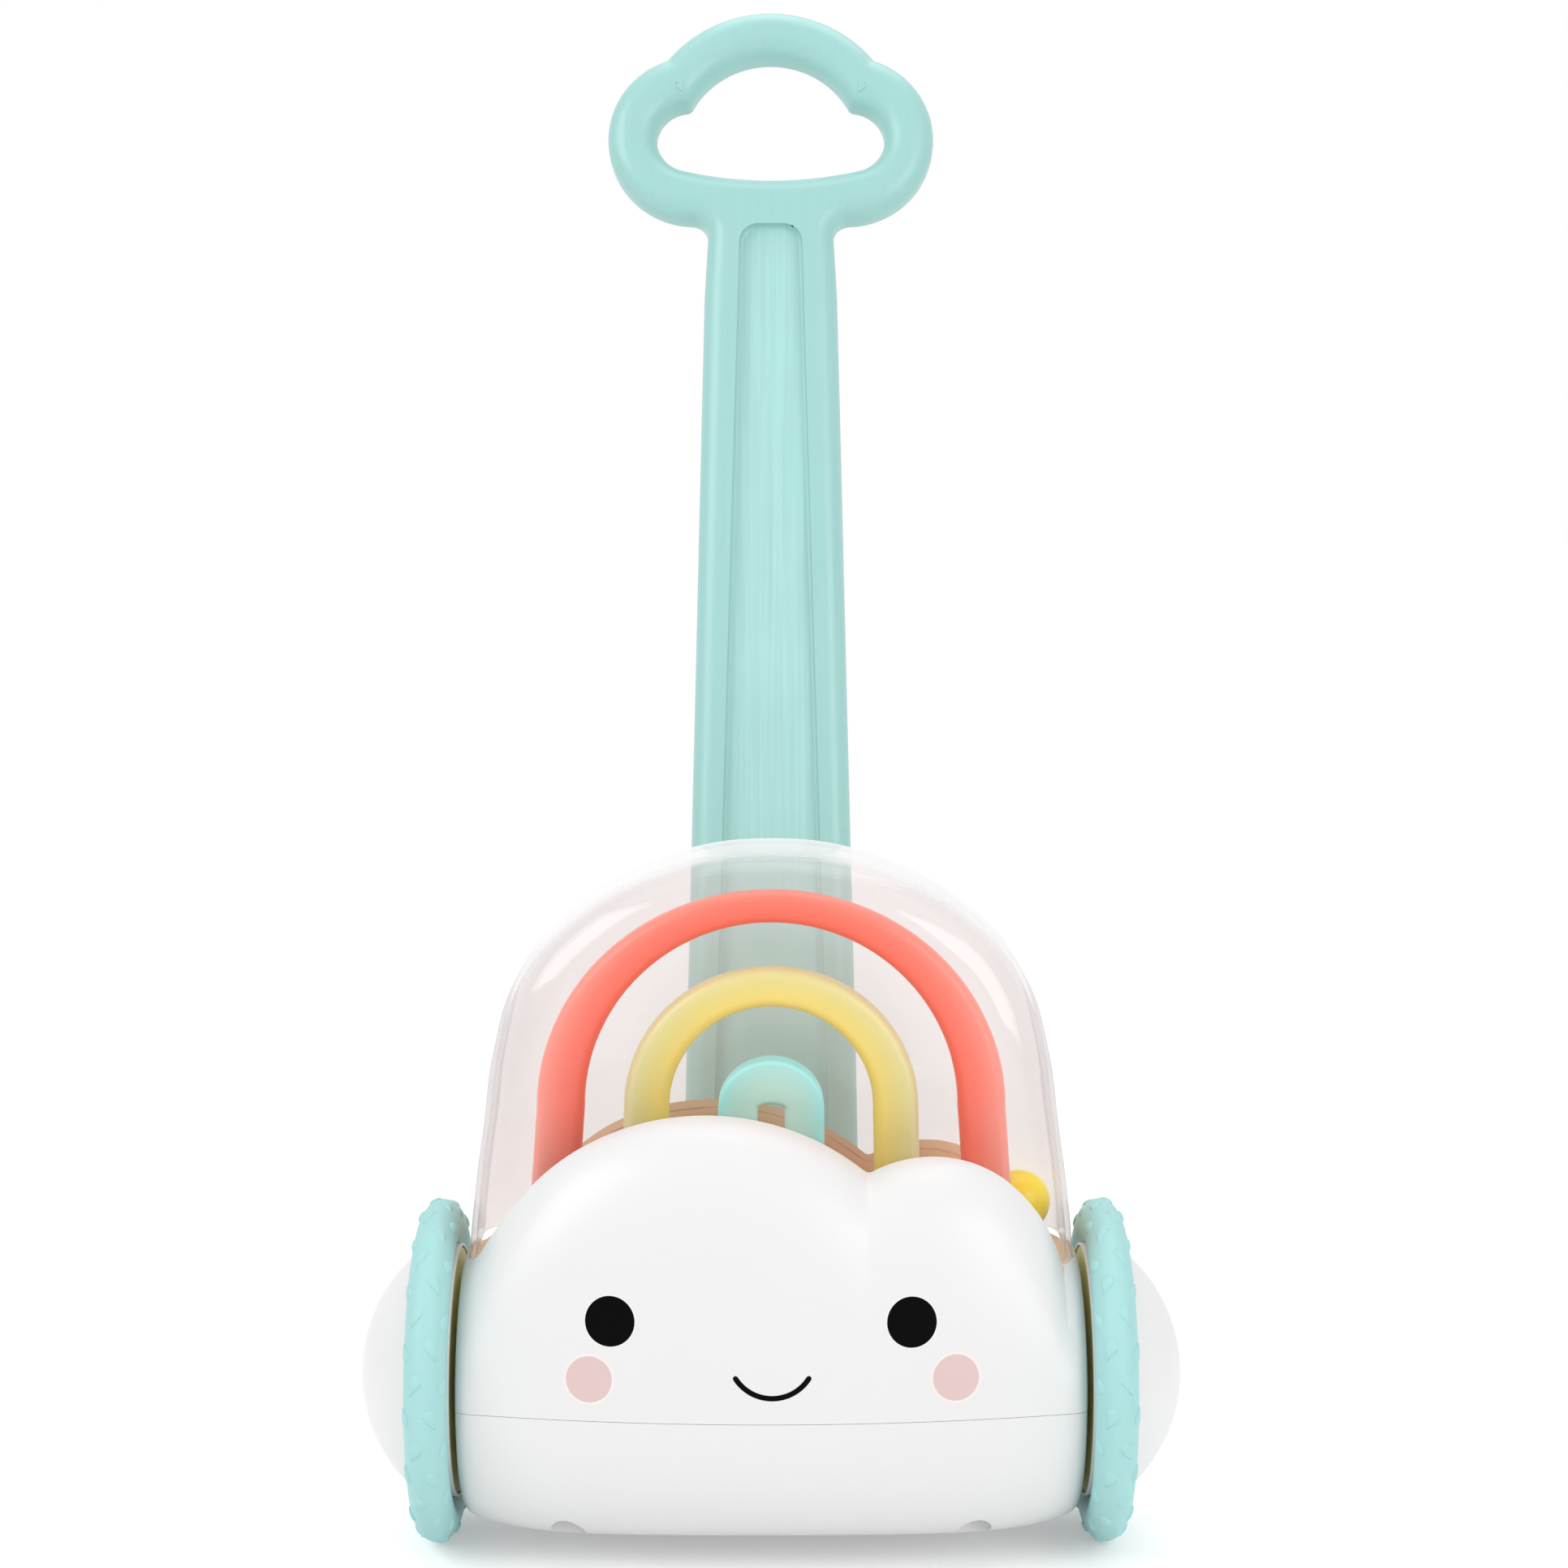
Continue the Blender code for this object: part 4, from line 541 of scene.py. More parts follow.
WHITE = moulded("white_satin_shell", (0.77, 0.77, 0.769), 0.34, tint=0.01, grain=0.01)
# The rear shell's hollow and its cut edges at the dome: white plastic painted a warm tan, a painted shade
# with painted light bounced from the coral arch
SHELL_INSIDE_PAINTED_SHADE = moulded("shell_inside_painted_shade", (1.0, 0.66, 0.36), 0.5, tint=0.04)
# A sheet of painted shade, tan with painted bounced light, that the hollow behind the dome shows
SHADE_PANEL_TAN = moulded("painted_shade_tan", (1.0, 0.62, 0.28), 0.5, tint=0.04)
CLEAR = clear_plastic()
# The deck's satin plastic, darkened to tan: painted shade where the dome would dim it
DECK_PAINTED_SHADE = moulded("deck_satin_painted_shade", (0.78, 0.56, 0.38), 0.5)
ROLLER = moulded("roller_satin", (0.86, 0.85, 0.83), 0.45)
# Arch colours from inner to outer edge: the plastic's own colour, then a painted sheen at the outer edge
CORAL_COLOUR_AND_SHEEN = ((0, (1.0, 0.08, 0.015)), (0.5, (1.0, 0.175, 0.11)), (1, (1.0, 0.32, 0.25)))
CORAL = frosted("coral_frosted", 60, 76.7, CORAL_COLOUR_AND_SHEEN, (1, 0.4, 0.3))
LEMON_COLOUR_AND_SHEEN = ((0, (1.0, 0.7, 0.09)), (0.55, (0.82, 0.7, 0.2)), (1, (0.76, 0.71, 0.38)))
LEMON = frosted("lemon_frosted", 32, 48.2, LEMON_COLOUR_AND_SHEEN, (1, 1, 0.4))
MINT_COLOUR_AND_SHEEN = ((0, (0.54, 0.83, 0.73)), (0.6, (0.46, 0.82, 0.74)), (1, (0.33, 0.86, 0.88)))
MINT = frosted("mint_frosted", 8, 17.3, MINT_COLOUR_AND_SHEEN, (0.6, 1, 1))
TEAL = streaked("handle_teal_satin", (0.335, 0.61, 0.58), 0.33)
# The recess floor's teal, lighter than the rest: painted light falling into the recess, with stronger streaks
RECESS_PAINTED_LIGHT_TEAL = streaked("handle_recess_painted_light", (0.395, 0.69, 0.665), 0.3, 0.1)
RUBBER = moulded("tyre_teal_rubber", (0.37, 0.675, 0.665), 0.55, tint=0.05, grain=0.12, grain_scale=1400.0)
YELLOW = glossy("ball_yellow_gloss", (1.0, 0.72, 0.002), Specular_IOR_Level=0.25, Coat_Weight=0.1)
CORAL_BALL = glossy("ball_coral_gloss", (1.0, 0.16, 0.115), Coat_Weight=0.5)
TEAL_BALL = glossy("ball_teal_gloss", (0.3, 0.7, 0.68), Coat_Weight=0.5)
COVER = moulded("wheel_cover_yellow", (1.0, 0.97, 0.42), 0.45, tint=0.02)
BLACK = moulded("eye_black_print", (0.002, 0.002, 0.002), 0.4, tint=0.2, Specular_IOR_Level=0.04)
PINK = moulded("cheek_pink_print", (0.71, 0.525, 0.515), 0.3, tint=0.03)
UNDERLAY = moulded("print_underlay", (0.85, 0.8, 0.77), 0.3, tint=0.02)
STEEL = turned_steel()
ACETAL = moulded("bush_acetal", (0.8, 0.8, 0.77), 0.35)


# ---- Housing ----

def lobe(x, shape):
    return shape[1] + math.sqrt(max(shape[2] ** 2 - (x - shape[0]) ** 2, 0))


def smooth_max(first, second, softness):
    near = max(softness - abs(first - second), 0) / softness
    return max(first, second) + near * near * softness / 4


def cloud_edge(x, lobes):
    return smooth_max(smooth_max(lobe(x, lobes[0]), lobe(x, lobes[1]), 2), END_TOP, 6)


def quarter(y_side, z_side, y_from, power, steps, inset):
    """A quarter of a section: a superellipse from its side to its top or foot, which it meets at y_from."""
    depth, height = abs(y_side - y_from) - inset, abs(z_side) - inset
    points = []
    for i in range(steps + 1):
        angle = math.pi / 2 * i / steps
        across = depth * max(math.cos(angle), 0) ** (2 / power)
        up = height * math.sin(angle) ** (2 / power)
        points.append((y_from + math.copysign(across, y_side), math.copysign(up, z_side)))
    return points


def section(x, inset, crown=26, keel=14):
    """The housing's outline at this X, drawn in by inset, with so many steps over its crown and its keel."""
    share = min(abs(x) / HALF_WIDTH, 1)
    bow, spread = 1 - share**2, 1 - share**6
    power = 2 + FULLNESS * spread
    front, rear = -(END_RADIUS + FRONT_BULGE * bow), END_RADIUS + REAR_BULGE * bow
    foot = -(END_BOTTOM + BELLY * (1 - share**4))
    points = quarter(front, cloud_edge(x, FRONT_LOBES), -FRONT_CROWN * spread, power, crown, inset)
    points += quarter(rear, cloud_edge(x, REAR_LOBES), REAR_CROWN * spread, power, crown, inset)[::-1]
    points += quarter(rear, foot, KEEL_REAR * spread, power, keel, inset)[1:]
    points += quarter(front, foot, -KEEL_FRONT * spread, power, keel, inset)[:0:-1]
    return [(x, y, z) for y, z in points]


def housing(inset, end_round, count=73):
    """The whole housing as one solid, with closer sections where two lobes meet."""
    half = HALF_WIDTH - inset
    places = [(half - end_round) * (2 * i / (count - 1) - 1) for i in range(count)]
    for lobes in (FRONT_LOBES, REAR_LOBES):
        middle = crossing(lobes[0][:2], lobes[0][2], lobes[1][:2], lobes[1][2])[0]
        places = [x for x in places if abs(x - middle) > 1.6]
        places += [middle + step for step in (-1.4, -0.9, -0.45, 0, 0.45, 0.9, 1.4)]
    sections = [section(x, inset) for x in sorted(places)]
    for angle in (20, 40, 60, 80, 90) if end_round else ():
        drawn_in = inset + end_round * (1 - math.cos(math.radians(angle)))
        x = half - end_round * (1 - math.sin(math.radians(angle)))
        sections.insert(0, section(-x, drawn_in))
        sections.append(section(x, drawn_in))
    return lofted(sections)


def dome_form(grow, floor, steps=10):
    """The dome as a full solid, grown or shrunk all round and cut off at the floor."""
    curve = rounded_curve(DOME_HALF_DEPTH, DOME_ROUND, 12, grow)
    curve.resolution_u = steps
    height = DOME_TOP - DOME_FOOT
    half = [(DOME_HALF_WIDTH * across, DOME_FOOT + height * up) for across, up in DOME_SHARES[::-1]]
    outline = mirrored(half)
    spline = curve.splines.new("BEZIER")
    spline.bezier_points.add(len(outline) - 1)
    for point, (across, up) in zip(spline.bezier_points, outline):
        point.co = (across, up, 0)
        kind = "VECTOR" if up < DOME_FOOT - 1 else "AUTO"
        point.handle_left_type = point.handle_right_type = kind
    spline.use_cyclic_u = True
    bm = upright(curve)
    bmesh.ops.translate(bm, vec=(0, DOME_MID, 0), verts=bm.verts)
    everything = list(bm.verts) + list(bm.edges) + list(bm.faces)
    cut = bmesh.ops.bisect_plane(bm, geom=everything, dist=0.01, plane_co=(0, 0, floor), plane_no=(0, 0, -1),
                                 clear_outer=True)
    rim = [edge for edge in cut["geom_cut"] if isinstance(edge, bmesh.types.BMEdge)]
    bmesh.ops.edgeloop_fill(bm, edges=rim)
    bmesh.ops.recalc_face_normals(bm, faces=bm.faces)
    return bm


def dome_slot():
    return dome_form(GAP, DECK_UNDER - GAP)


# ---- Front, rear and base shells ----

def mark_inner(bm, lining_tree):
    """Gives the faces that lie on the lining the shell's second material, which on the rear shell is a
    painted shade.
    """
    for face in bm.faces:
        near = lining_tree.find_nearest(face.calc_center_median())
        if near[3] is not None and near[3] < 0.06:
            face.material_index = 1


def screw_features(side_y, upper):
    """Posts or wells that a shell keeps inside, and the holes in them."""
    post_foot, post_top, pilot_top, rib_half, rib_top = -4, 14, 11, 1, 12
    underneath, seat, well_top = -50, -16, 4
    near, far = sorted((side_y, 50 if side_y > 0 else -49))
    keep, cut = [], []
    for x in (-SCREW_X, SCREW_X):
        centre = (x, side_y, 0)
        if upper:
            keep.append(rod(POST_RADIUS, post_foot, post_top, "Z", centre, 24))
            keep.append(box((x - rib_half, near, post_foot), (x + rib_half, far, rib_top)))
            cut.append(rod(PILOT_RADIUS, post_foot - 2, pilot_top, "Z", centre, 16))
        else:
            keep.append(rod(WELL_RADIUS, underneath, well_top, "Z", centre, 40))
            cut.append(rod(HEAD_RADIUS, underneath, seat, "Z", centre, 48))
            cut.append(rod(PILOT_RADIUS, seat - 4, well_top, "Z", centre, 16))
    return keep, cut


def shell_piece(name, region, keep, cuts, extra=()):
    """A shell: the housing's part in a region, hollow except for what it keeps, then added to and cut."""
    lining = housing(WALL, 0)
    lining_tree = BVHTree.FromBMesh(lining)
    slot_tree = BVHTree.FromBMesh(dome_slot())
    if keep:
        lining = carved(lining, *[(solid, "DIFFERENCE") for solid in keep])
    steps = [(lining, "DIFFERENCE"), (box(*region), "INTERSECT")] + list(extra)
    steps += [(solid, "DIFFERENCE") for solid in [rod(BORE_RADIUS, -OUTSIDE_X, OUTSIDE_X, "X")] + cuts]
    bm = carved(housing(0, END_ROUND), *steps)
    # Faces inside and at the dome's slot take the second finish: on the rear shell a painted warm shade
    mark_inner(bm, lining_tree)
    mark_inner(bm, slot_tree)
    finishes = [WHITE, SHELL_INSIDE_PAINTED_SHADE if name == "rear_shell" else WHITE]
    return piece(f"{name}_skin", bm, "toy_body", finishes, [name])


def ledges(side):
    """What a shell keeps at its two ends to carry the deck."""
    near, far = sorted((-side * 4, side * 12))
    ends = ((-100, -LEDGE_X), (LEDGE_X, 100))
    return [box((low, near, LEDGE_LOW), (high, far, LEDGE_HIGH)) for low, high in ends]


def on_handle(bm):
    """Moves a solid from the handle's own axes to the toy's."""
    lean = Matrix.Translation(HANDLE_BASE) @ Matrix.Rotation(-HANDLE_LEAN, 4, "X")
    bmesh.ops.transform(bm, matrix=lean, verts=bm.verts)
    return bm


def socket_block(grow, foot, top):
    """The handle's foot grown all round, between two heights."""
    half_width, half_depth, edge = FOOT_HALF + grow, HANDLE_HALF_DEPTH + grow, HANDLE_EDGE + grow
    corners = []
    for angle, across, deep in ((0, 1, 1), (90, -1, 1), (180, -1, -1), (270, 1, -1)):
        centre = (across * (half_width - edge), deep * (half_depth - edge))
        corners += arc(centre, edge, math.radians(angle), math.radians(angle + 90), 10)
    return on_handle(lofted([[(across, deep, height) for across, deep in corners] for height in (foot, top)]))


keep, cut = screw_features(SCREW_FRONT, True)
region = ((-OUTSIDE_X, -OUTSIDE_Y, SEAM_Z + GAP / 4), (OUTSIDE_X, -GAP / 2, OUTSIDE_HIGH))
front = shell_piece("front_shell", region, keep + ledges(-1), cut + [dome_slot()])

keep, cut = screw_features(SCREW_REAR, True)
region = ((-OUTSIDE_X, GAP / 2, SEAM_Z + GAP / 4), (OUTSIDE_X, OUTSIDE_Y, OUTSIDE_HIGH))
collar = [(socket_block(SOCKET_WALL, TENON_FOOT - SOCKET_WALL, TENON_TOP), "UNION"),
          (socket_block(GAP, TENON_FOOT - GAP, 44), "DIFFERENCE")]
holes = [on_handle(rod(PILOT_RADIUS, 0, 17, "Y", (x, 0, HANDLE_SCREW_HEIGHT), 16)) for x in HANDLE_SCREWS]
shell_piece("rear_shell", region, keep + ledges(1), cut + [dome_slot()] + holes, collar)


def roller_ear(x, start, end):
    tip = arc(ROLLER_MIDDLE, EAR_RADIUS, math.radians(20), math.radians(-200), 20)
    root = [(41, -31), (49, -31)]
    return lofted([[(x + side, y, z) for y, z in tip + root] for side in (start, end)])


keep, cut = screw_features(SCREW_FRONT, False)
more_keep, more_cut = screw_features(SCREW_REAR, False)
region = ((-OUTSIDE_X, -OUTSIDE_Y, OUTSIDE_LOW), (OUTSIDE_X, OUTSIDE_Y, SEAM_Z - GAP / 4))
ears = [(roller_ear(x, *sorted((hand * EAR_INSIDE, hand * EAR_OUTSIDE))), "UNION")
        for x in (-ROLLER_X, ROLLER_X) for hand in (-1, 1)]
pin_hole = rod(ROLLER_BORE, -55, 55, "X", (0, *ROLLER_MIDDLE), 20)
shell_piece("base_shell", region, keep + more_keep, cut + more_cut + [pin_hole], ears)

# ---- Painted shade panel behind the dome ----

def inner_height(x, y):
    """Height of the rear shell's inside at this place."""
    return max((pz for px, py, pz in section(x, WALL, 60) if py >= y and pz > 0), default=0)


def painted_shade_panel():
    """A flat panel that closes the rear cloud from inside, just behind the dome; its tan is painted shade
    with painted light bounced from the coral arch.
    """
    places = [-SHADE_PANEL_HALF + 2 * SHADE_PANEL_HALF * i / 88 for i in range(89)]
    ridge = [(x, inner_height(x, SHADE_PANEL_BACK) + 0.4) for x in places]
    ridge = [(x, top) for x, top in ridge if top > SHADE_PANEL_FOOT + 2]
    outline = ridge + [(x, SHADE_PANEL_FOOT) for x, top in reversed(ridge)]
    return lofted([[(x, y, z) for x, z in outline] for y in (SHADE_PANEL_FRONT, SHADE_PANEL_BACK)])


piece("rear_painted_shade_panel", painted_shade_panel(), "toy_body", SHADE_PANEL_TAN, sharp=40)

# ---- Dome and arches ----

inside = dome_form(-DOME_WALL, DOME_FOOT - 4, 20)
shell = carved(dome_form(0, DOME_FOOT, 20), (inside, "DIFFERENCE"))
dome = piece("dome_skin", shell, "toy_body", CLEAR, ["clear_dome"], sharp=40)
# Light falls into the chamber as if the dome weren't there
dome.visible_shadow = False
dome.visible_diffuse = False


def arch(inner, side, height, opening, splay, edge):
    """A flat band, by the half widths and heights of its opening and its outside, whose legs splay."""
    drop = ARCH_MID - DECK_TOP - GAP
    outer = [(side * math.cos(a), height * math.sin(a)) for a in (math.pi * i / 96 for i in range(97))]
    under = [(inner * math.cos(a), opening * math.sin(a)) for a in (math.pi * i / 72 for i in range(73))]
    left_foot = [(-side - splay, -drop), (-inner - splay, -drop)]
    outline = [(side + splay, -drop)] + outer + left_foot + under[::-1] + [(inner + splay, -drop)]
    bm = flat_solid([outline], ARCH_HALF_DEPTH, edge, 6)
    bmesh.ops.translate(bm, vec=(0, DOME_MID, ARCH_MID), verts=bm.verts)
    return bm


piece("coral_arch_skin", arch(61.1, 76.7, 71.5, 61.1, 3.5, 3.5), "toy_body", CORAL, ["coral_arch"])
piece("yellow_arch_skin", arch(33.4, 48.2, 46.3, 33.4, 1.0, 3.5), "toy_body", LEMON, ["yellow_arch"])
piece("teal_arch_skin", arch(4.4, 17.3, 16.0, 1.5, 0.5, 1.4), "toy_body", MINT, ["teal_arch"])

# ---- Handle ----

def handle_outline():
    half, notch = notched(GRIP_TOP, GRIP_TOP_RADIUS, GRIP_SIDE, GRIP_SIDE_RADIUS, GRIP_NOTCH, 36)
    neck_x = NECK_HALF + NECK_ROUND
    reach = GRIP_SIDE_RADIUS + NECK_ROUND
    neck = (neck_x, GRIP_SIDE[1] - math.sqrt(reach**2 - (neck_x - GRIP_SIDE[0]) ** 2))
    half += arc(GRIP_SIDE, GRIP_SIDE_RADIUS, heading(GRIP_SIDE, notch), heading(GRIP_SIDE, neck), 60)
    half += arc(neck, NECK_ROUND, heading(neck, GRIP_SIDE), math.pi, 14)[1:]
    taper = (NECK_HALF - FOOT_HALF) / GRIP_SIDE[1]
    half += [(FOOT_HALF + taper * height, height) for height in range(300, 0, -20)]
    return mirrored(half + [(FOOT_HALF, TENON_TOP), (FOOT_HALF, TENON_FOOT), (0, TENON_FOOT)])


def hole_outline():
    """The grip's opening: a cloud over a floor that sags between its two side lobes."""
    half, notch = notched(HOLE_TOP, HOLE_TOP_RADIUS, HOLE_SIDE, HOLE_SIDE_RADIUS, HOLE_NOTCH, 24)
    low = HOLE_FLOOR + HOLE_SIDE_RADIUS
    across, up = HOLE_SIDE
    centre = (0, (across**2 + up**2 - low**2) / (2 * (up - low)))
    half += arc(HOLE_SIDE, HOLE_SIDE_RADIUS, heading(HOLE_SIDE, notch), heading(centre, HOLE_SIDE), 30)
    half += arc(centre, centre[1] - HOLE_FLOOR, heading(centre, HOLE_SIDE), -math.pi / 2, 10)[1:]
    return mirrored(half)


def recess():
    """The cutter of the front panel."""
    half_thickness = 3.75
    centre = (RECESS_TOP_HALF - RECESS_CORNER, RECESS_TOP - RECESS_CORNER)
    half = [(0, RECESS_TOP)] + arc(centre, RECESS_CORNER, math.pi / 2, 0, 14)
    outline = mirrored(half + [(RECESS_FOOT_HALF, RECESS_FOOT), (0, RECESS_FOOT)])
    bm = flat_solid([outline[::-1]], half_thickness, 1.6, 5)
    bmesh.ops.translate(bm, vec=(0, RECESS_DEPTH - HANDLE_HALF_DEPTH - half_thickness, 0), verts=bm.verts)
    return bm


def pocket(bay):
    """The cutter of one of the pockets behind, counted from the foot."""
    half_thickness = 8.95
    length = (POCKET_HIGH - POCKET_LOW - (POCKETS - 1) * RIB) / POCKETS
    foot = POCKET_LOW + bay * (length + RIB)
    taper = (POCKET_HIGH_HALF - POCKET_LOW_HALF) / (POCKET_HIGH - POCKET_LOW)
    side = [(POCKET_LOW_HALF + taper * (height - POCKET_LOW), height) for height in (foot + length, foot)]
    outline = rounded_profile(mirrored(side), 3, 6)
    bm = flat_solid([outline[::-1]], half_thickness, 0, 1)
    bmesh.ops.translate(bm, vec=(0, POCKET_FRONT + half_thickness, 0), verts=bm.verts)
    return bm


grip = flat_solid([handle_outline()[::-1], hole_outline()], HANDLE_HALF_DEPTH, HANDLE_EDGE, 10, -GAP)
cutters = [recess()] + [pocket(bay) for bay in range(POCKETS)]
cutters += [rod(PILOT_RADIUS, 1, 20, "Y", (x, 0, HANDLE_SCREW_HEIGHT), 16) for x in HANDLE_SCREWS]
grip = carved(grip, *[(cutter, "DIFFERENCE") for cutter in cutters])
# The recess floor takes the lighter teal: painted light
for face in grip.faces:
    above_floor = face.calc_center_median().y - (RECESS_DEPTH - HANDLE_HALF_DEPTH)
    if face.normal.y < -0.95 and abs(above_floor) < 0.1:
        face.material_index = 1
piece("handle_skin", on_handle(grip), "toy_body", [TEAL, RECESS_PAINTED_LIGHT_TEAL], ["handle"], sharp=35)

# ---- Wheels ----

def tyre_profile():
    upper = list(TYRE_BEAD)
    tread = TYRE_RADIUS - TYRE_SHOULDER
    for i in range(1, 18):
        turn = math.pi / 2 * i / 18
        upper.append((TYRE_SHOULDER + tread * math.sin(turn), TYRE_HALF * math.cos(turn)))
    return upper + [(TYRE_RADIUS, 0)] + [(radius, -height) for radius, height in reversed(upper)]


def hub_profile():
    """The bulging cover's outer face from its pole to its rim, and its inner face back."""
    centre = HUB_POLE - HUB_RADIUS
    rows = []
    for radius, steps in ((HUB_RADIUS, 40), (HUB_RADIUS - HUB_WALL, 30)):
        low = math.asin((HUB_FOOT - centre) / radius)
        rows.append([(radius * math.cos(a), centre + radius * math.sin(a))
                     for a in (math.pi / 2 + (low - math.pi / 2) * i / steps for i in range(steps + 1))])
    rows[0][0], rows[1][0] = (0, HUB_POLE), (0, HUB_INSIDE)
    return rows[0] + rows[1][::-1]


def drop_outline(turn):
    """A raindrop: round at one end, pointed at the other."""
    radius = DROP_WIDTH / 2
    reach = DROP_LENGTH - radius
    lean = math.acos(radius / reach)
    points = arc((0, 0), radius, math.pi / 2 + lean, math.pi / 2 - lean + 2 * math.pi, 16) + [(0, reach)]
    points = [(x, y - (DROP_LENGTH - DROP_WIDTH) / 2) for x, y in points]
    cosine, sine = math.cos(turn), math.sin(turn)
    return [(x * cosine - y * sine, x * sine + y * cosine) for x, y in points]


def tread_relief(tyre, side):
    """Raised raindrops in four rows round the tyre, with the outer rows' tips the other way."""
    tree = BVHTree.FromBMesh(tyre)
    core_radius, core_aside, reach = 47.6, 0.6, 12
    row_radius, bulge_radius = 52, 7.4
    drops = []
    for row, (tilt, tip) in enumerate(DROP_ROWS):
        for i in range(DROPS_ROUND):
            turn = 2 * math.pi * (i + (0.5 if row in (1, 2) else 0)) / DROPS_ROUND

            def place(across, up, tilt=tilt, turn=turn):
                """Where a ray from outside towards the tyre's core meets it."""
                around, lean = turn + up / row_radius, tilt + across / bulge_radius
                sine, cosine = math.sin(around), math.cos(around)
                away = Vector((math.sin(lean), math.cos(lean)))
                radius = core_radius + away.y * reach
                height = math.copysign(core_aside, lean) + away.x * reach
                start = Vector((side * (WHEEL_X + height), sine * radius, cosine * radius))
                outwards = Vector((side * away.x, sine * away.y, cosine * away.y))
                return tree.ray_cast(start, -outwards)[0], outwards

            lean = math.copysign(0.35, tilt) * tip + (math.pi if tip > 0 else 0)
            drops.append(raised(drop_outline(lean), DROP_RINGS, place))
    return together(*drops)


for side, name in ((-1, "left"), (1, "right")):
    tyre = spun(tyre_profile(), side)
    relief = tread_relief(tyre, side)
    piece(f"tyre_{name}_skin", together(tyre, relief), "wheels", RUBBER, [f"tyre_{name}"], sharp=50)
    cup = spun(rounded_profile(CUP, 0.5, 3), side)
    for face in cup.faces:
        spot = face.calc_center_median()
        if side * spot.x < WHEEL_X - CUP_FLOOR and math.hypot(spot.y, spot.z) < CUP_INSIDE:
            face.material_index = 1
    piece(f"wheel_{name}_skin", cup, "wheels", [WHITE, COVER], [f"wheel_{name}"])
    cover = spun(rounded_profile(INNER_COVER, 0.3, 3), side)
    piece(f"cover_{name}_skin", cover, "wheels", COVER, [f"inner_cover_{name}"])
    hub = spun(hub_profile(), side, 160, closed=False)
    piece(f"hub_dome_{name}_skin", hub, "wheels", WHITE, [f"hub_dome_{name}"])

# ---- Balls and rollers ----

def ball_at(centre):
    """A moulded ball with a faint parting ridge."""
    r = BALL_RADIUS
    points = arc((0, 0), r, math.pi / 2, -math.pi / 2, 48)
    points[0], points[-1] = (0, r), (0, -r)
    groove = r - 0.07
    points[24:25] = [(r, 0.22), (r, 0.12), (groove, 0.06), (groove, -0.06), (r, -0.12), (r, -0.22)]
    bm = lathe([(across, 0, up) for across, up in points], (0, 0, 1), 64, False)
    lie = Matrix.Rotation(0.7, 3, "X") @ Matrix.Rotation(0.4, 3, "Y")
    bmesh.ops.rotate(bm, matrix=lie, verts=bm.verts)
    bmesh.ops.translate(bm, vec=centre, verts=bm.verts)
    return bm


BALLS = ((1, YELLOW, "ball_yellow"), (2, CORAL_BALL, "ball_coral"), (3, YELLOW, "ball_yellow"),
         (4, TEAL_BALL, "ball_teal"), (5, YELLOW, "ball_yellow"))
for number, finish, slot in BALLS:
    node = f"popper_ball_{number}"
    low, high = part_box(node)
    centre = ((low + high) / 2 - AXLE) / MM
    centre.z = DECK_TOP + GAP + BALL_RADIUS
    piece(f"ball_{number}_skin", ball_at(centre), f"ball_{number}", finish, [node], sharp=60)


def roller(x):
    corners = [(ROLLER_BORE, ROLLER_HALF), (ROLLER_RADIUS, ROLLER_HALF), (ROLLER_RADIUS, -ROLLER_HALF),
               (ROLLER_BORE, -ROLLER_HALF)]
    profile = rounded_profile(corners, 0.8, 4)
    bm = lathe([(across, 0, up) for across, up in profile], (0, 0, 1), 48, True)
    bmesh.ops.rotate(bm, matrix=Matrix.Rotation(math.pi / 2, 3, "Y"), verts=bm.verts)
    bmesh.ops.translate(bm, vec=(x, *ROLLER_MIDDLE), verts=bm.verts)
    return bm


for side, name in ((-1, "left"), (1, "right")):
    piece(f"rear_roller_{name}_skin", roller(side * ROLLER_X), f"roller_{name}", ROLLER,
          [f"rear_roller_{name}"])

# ---- Printed face ----

surface = bmesh.new()
surface.from_mesh(front.data)
bmesh.ops.translate(surface, vec=-AXLE, verts=surface.verts)
bmesh.ops.scale(surface, vec=(1000, 1000, 1000), verts=surface.verts)
face_tree = BVHTree.FromBMesh(surface)
surface.free()


def on_front(x, z):
    """The spot on the front shell at this X and Z, and the way out of it."""
    spot = face_tree.ray_cast(Vector((x, -90, z)), Vector((0, 1, 0)))[0]
    return spot, Vector((0, -1, 0))


def printed_disc(name, width, tall, centre, height, finish):
    angles = [2 * math.pi * i / 72 for i in range(72)]
    outline = [(width / 2 * math.cos(a), tall / 2 * math.sin(a)) for a in angles]

    def place(across, up):
        return on_front(centre[0] + across, centre[1] + up)

    levels = [(1.0, INK_SUNK)] + [(scale, height) for scale in (1.0, 0.8, 0.6, 0.4, 0.2, 0.05)]
    piece(name, raised(outline, levels, place), "toy_body", finish, sharp=25)


for side, place in EYES:
    printed_disc(f"eye_halo_{side}", 16.6, 16.6, place, UNDERLAY_HEIGHT, UNDERLAY)
    printed_disc(f"eye_{side}", 15.5, 15.7, place, INK_HEIGHT, BLACK)
for side, place in CHEEKS:
    printed_disc(f"cheek_halo_{side}", 16.0, 16.2, place, UNDERLAY_HEIGHT, UNDERLAY)
    printed_disc(f"cheek_{side}", 14.4, 14.6, place, INK_HEIGHT, PINK)


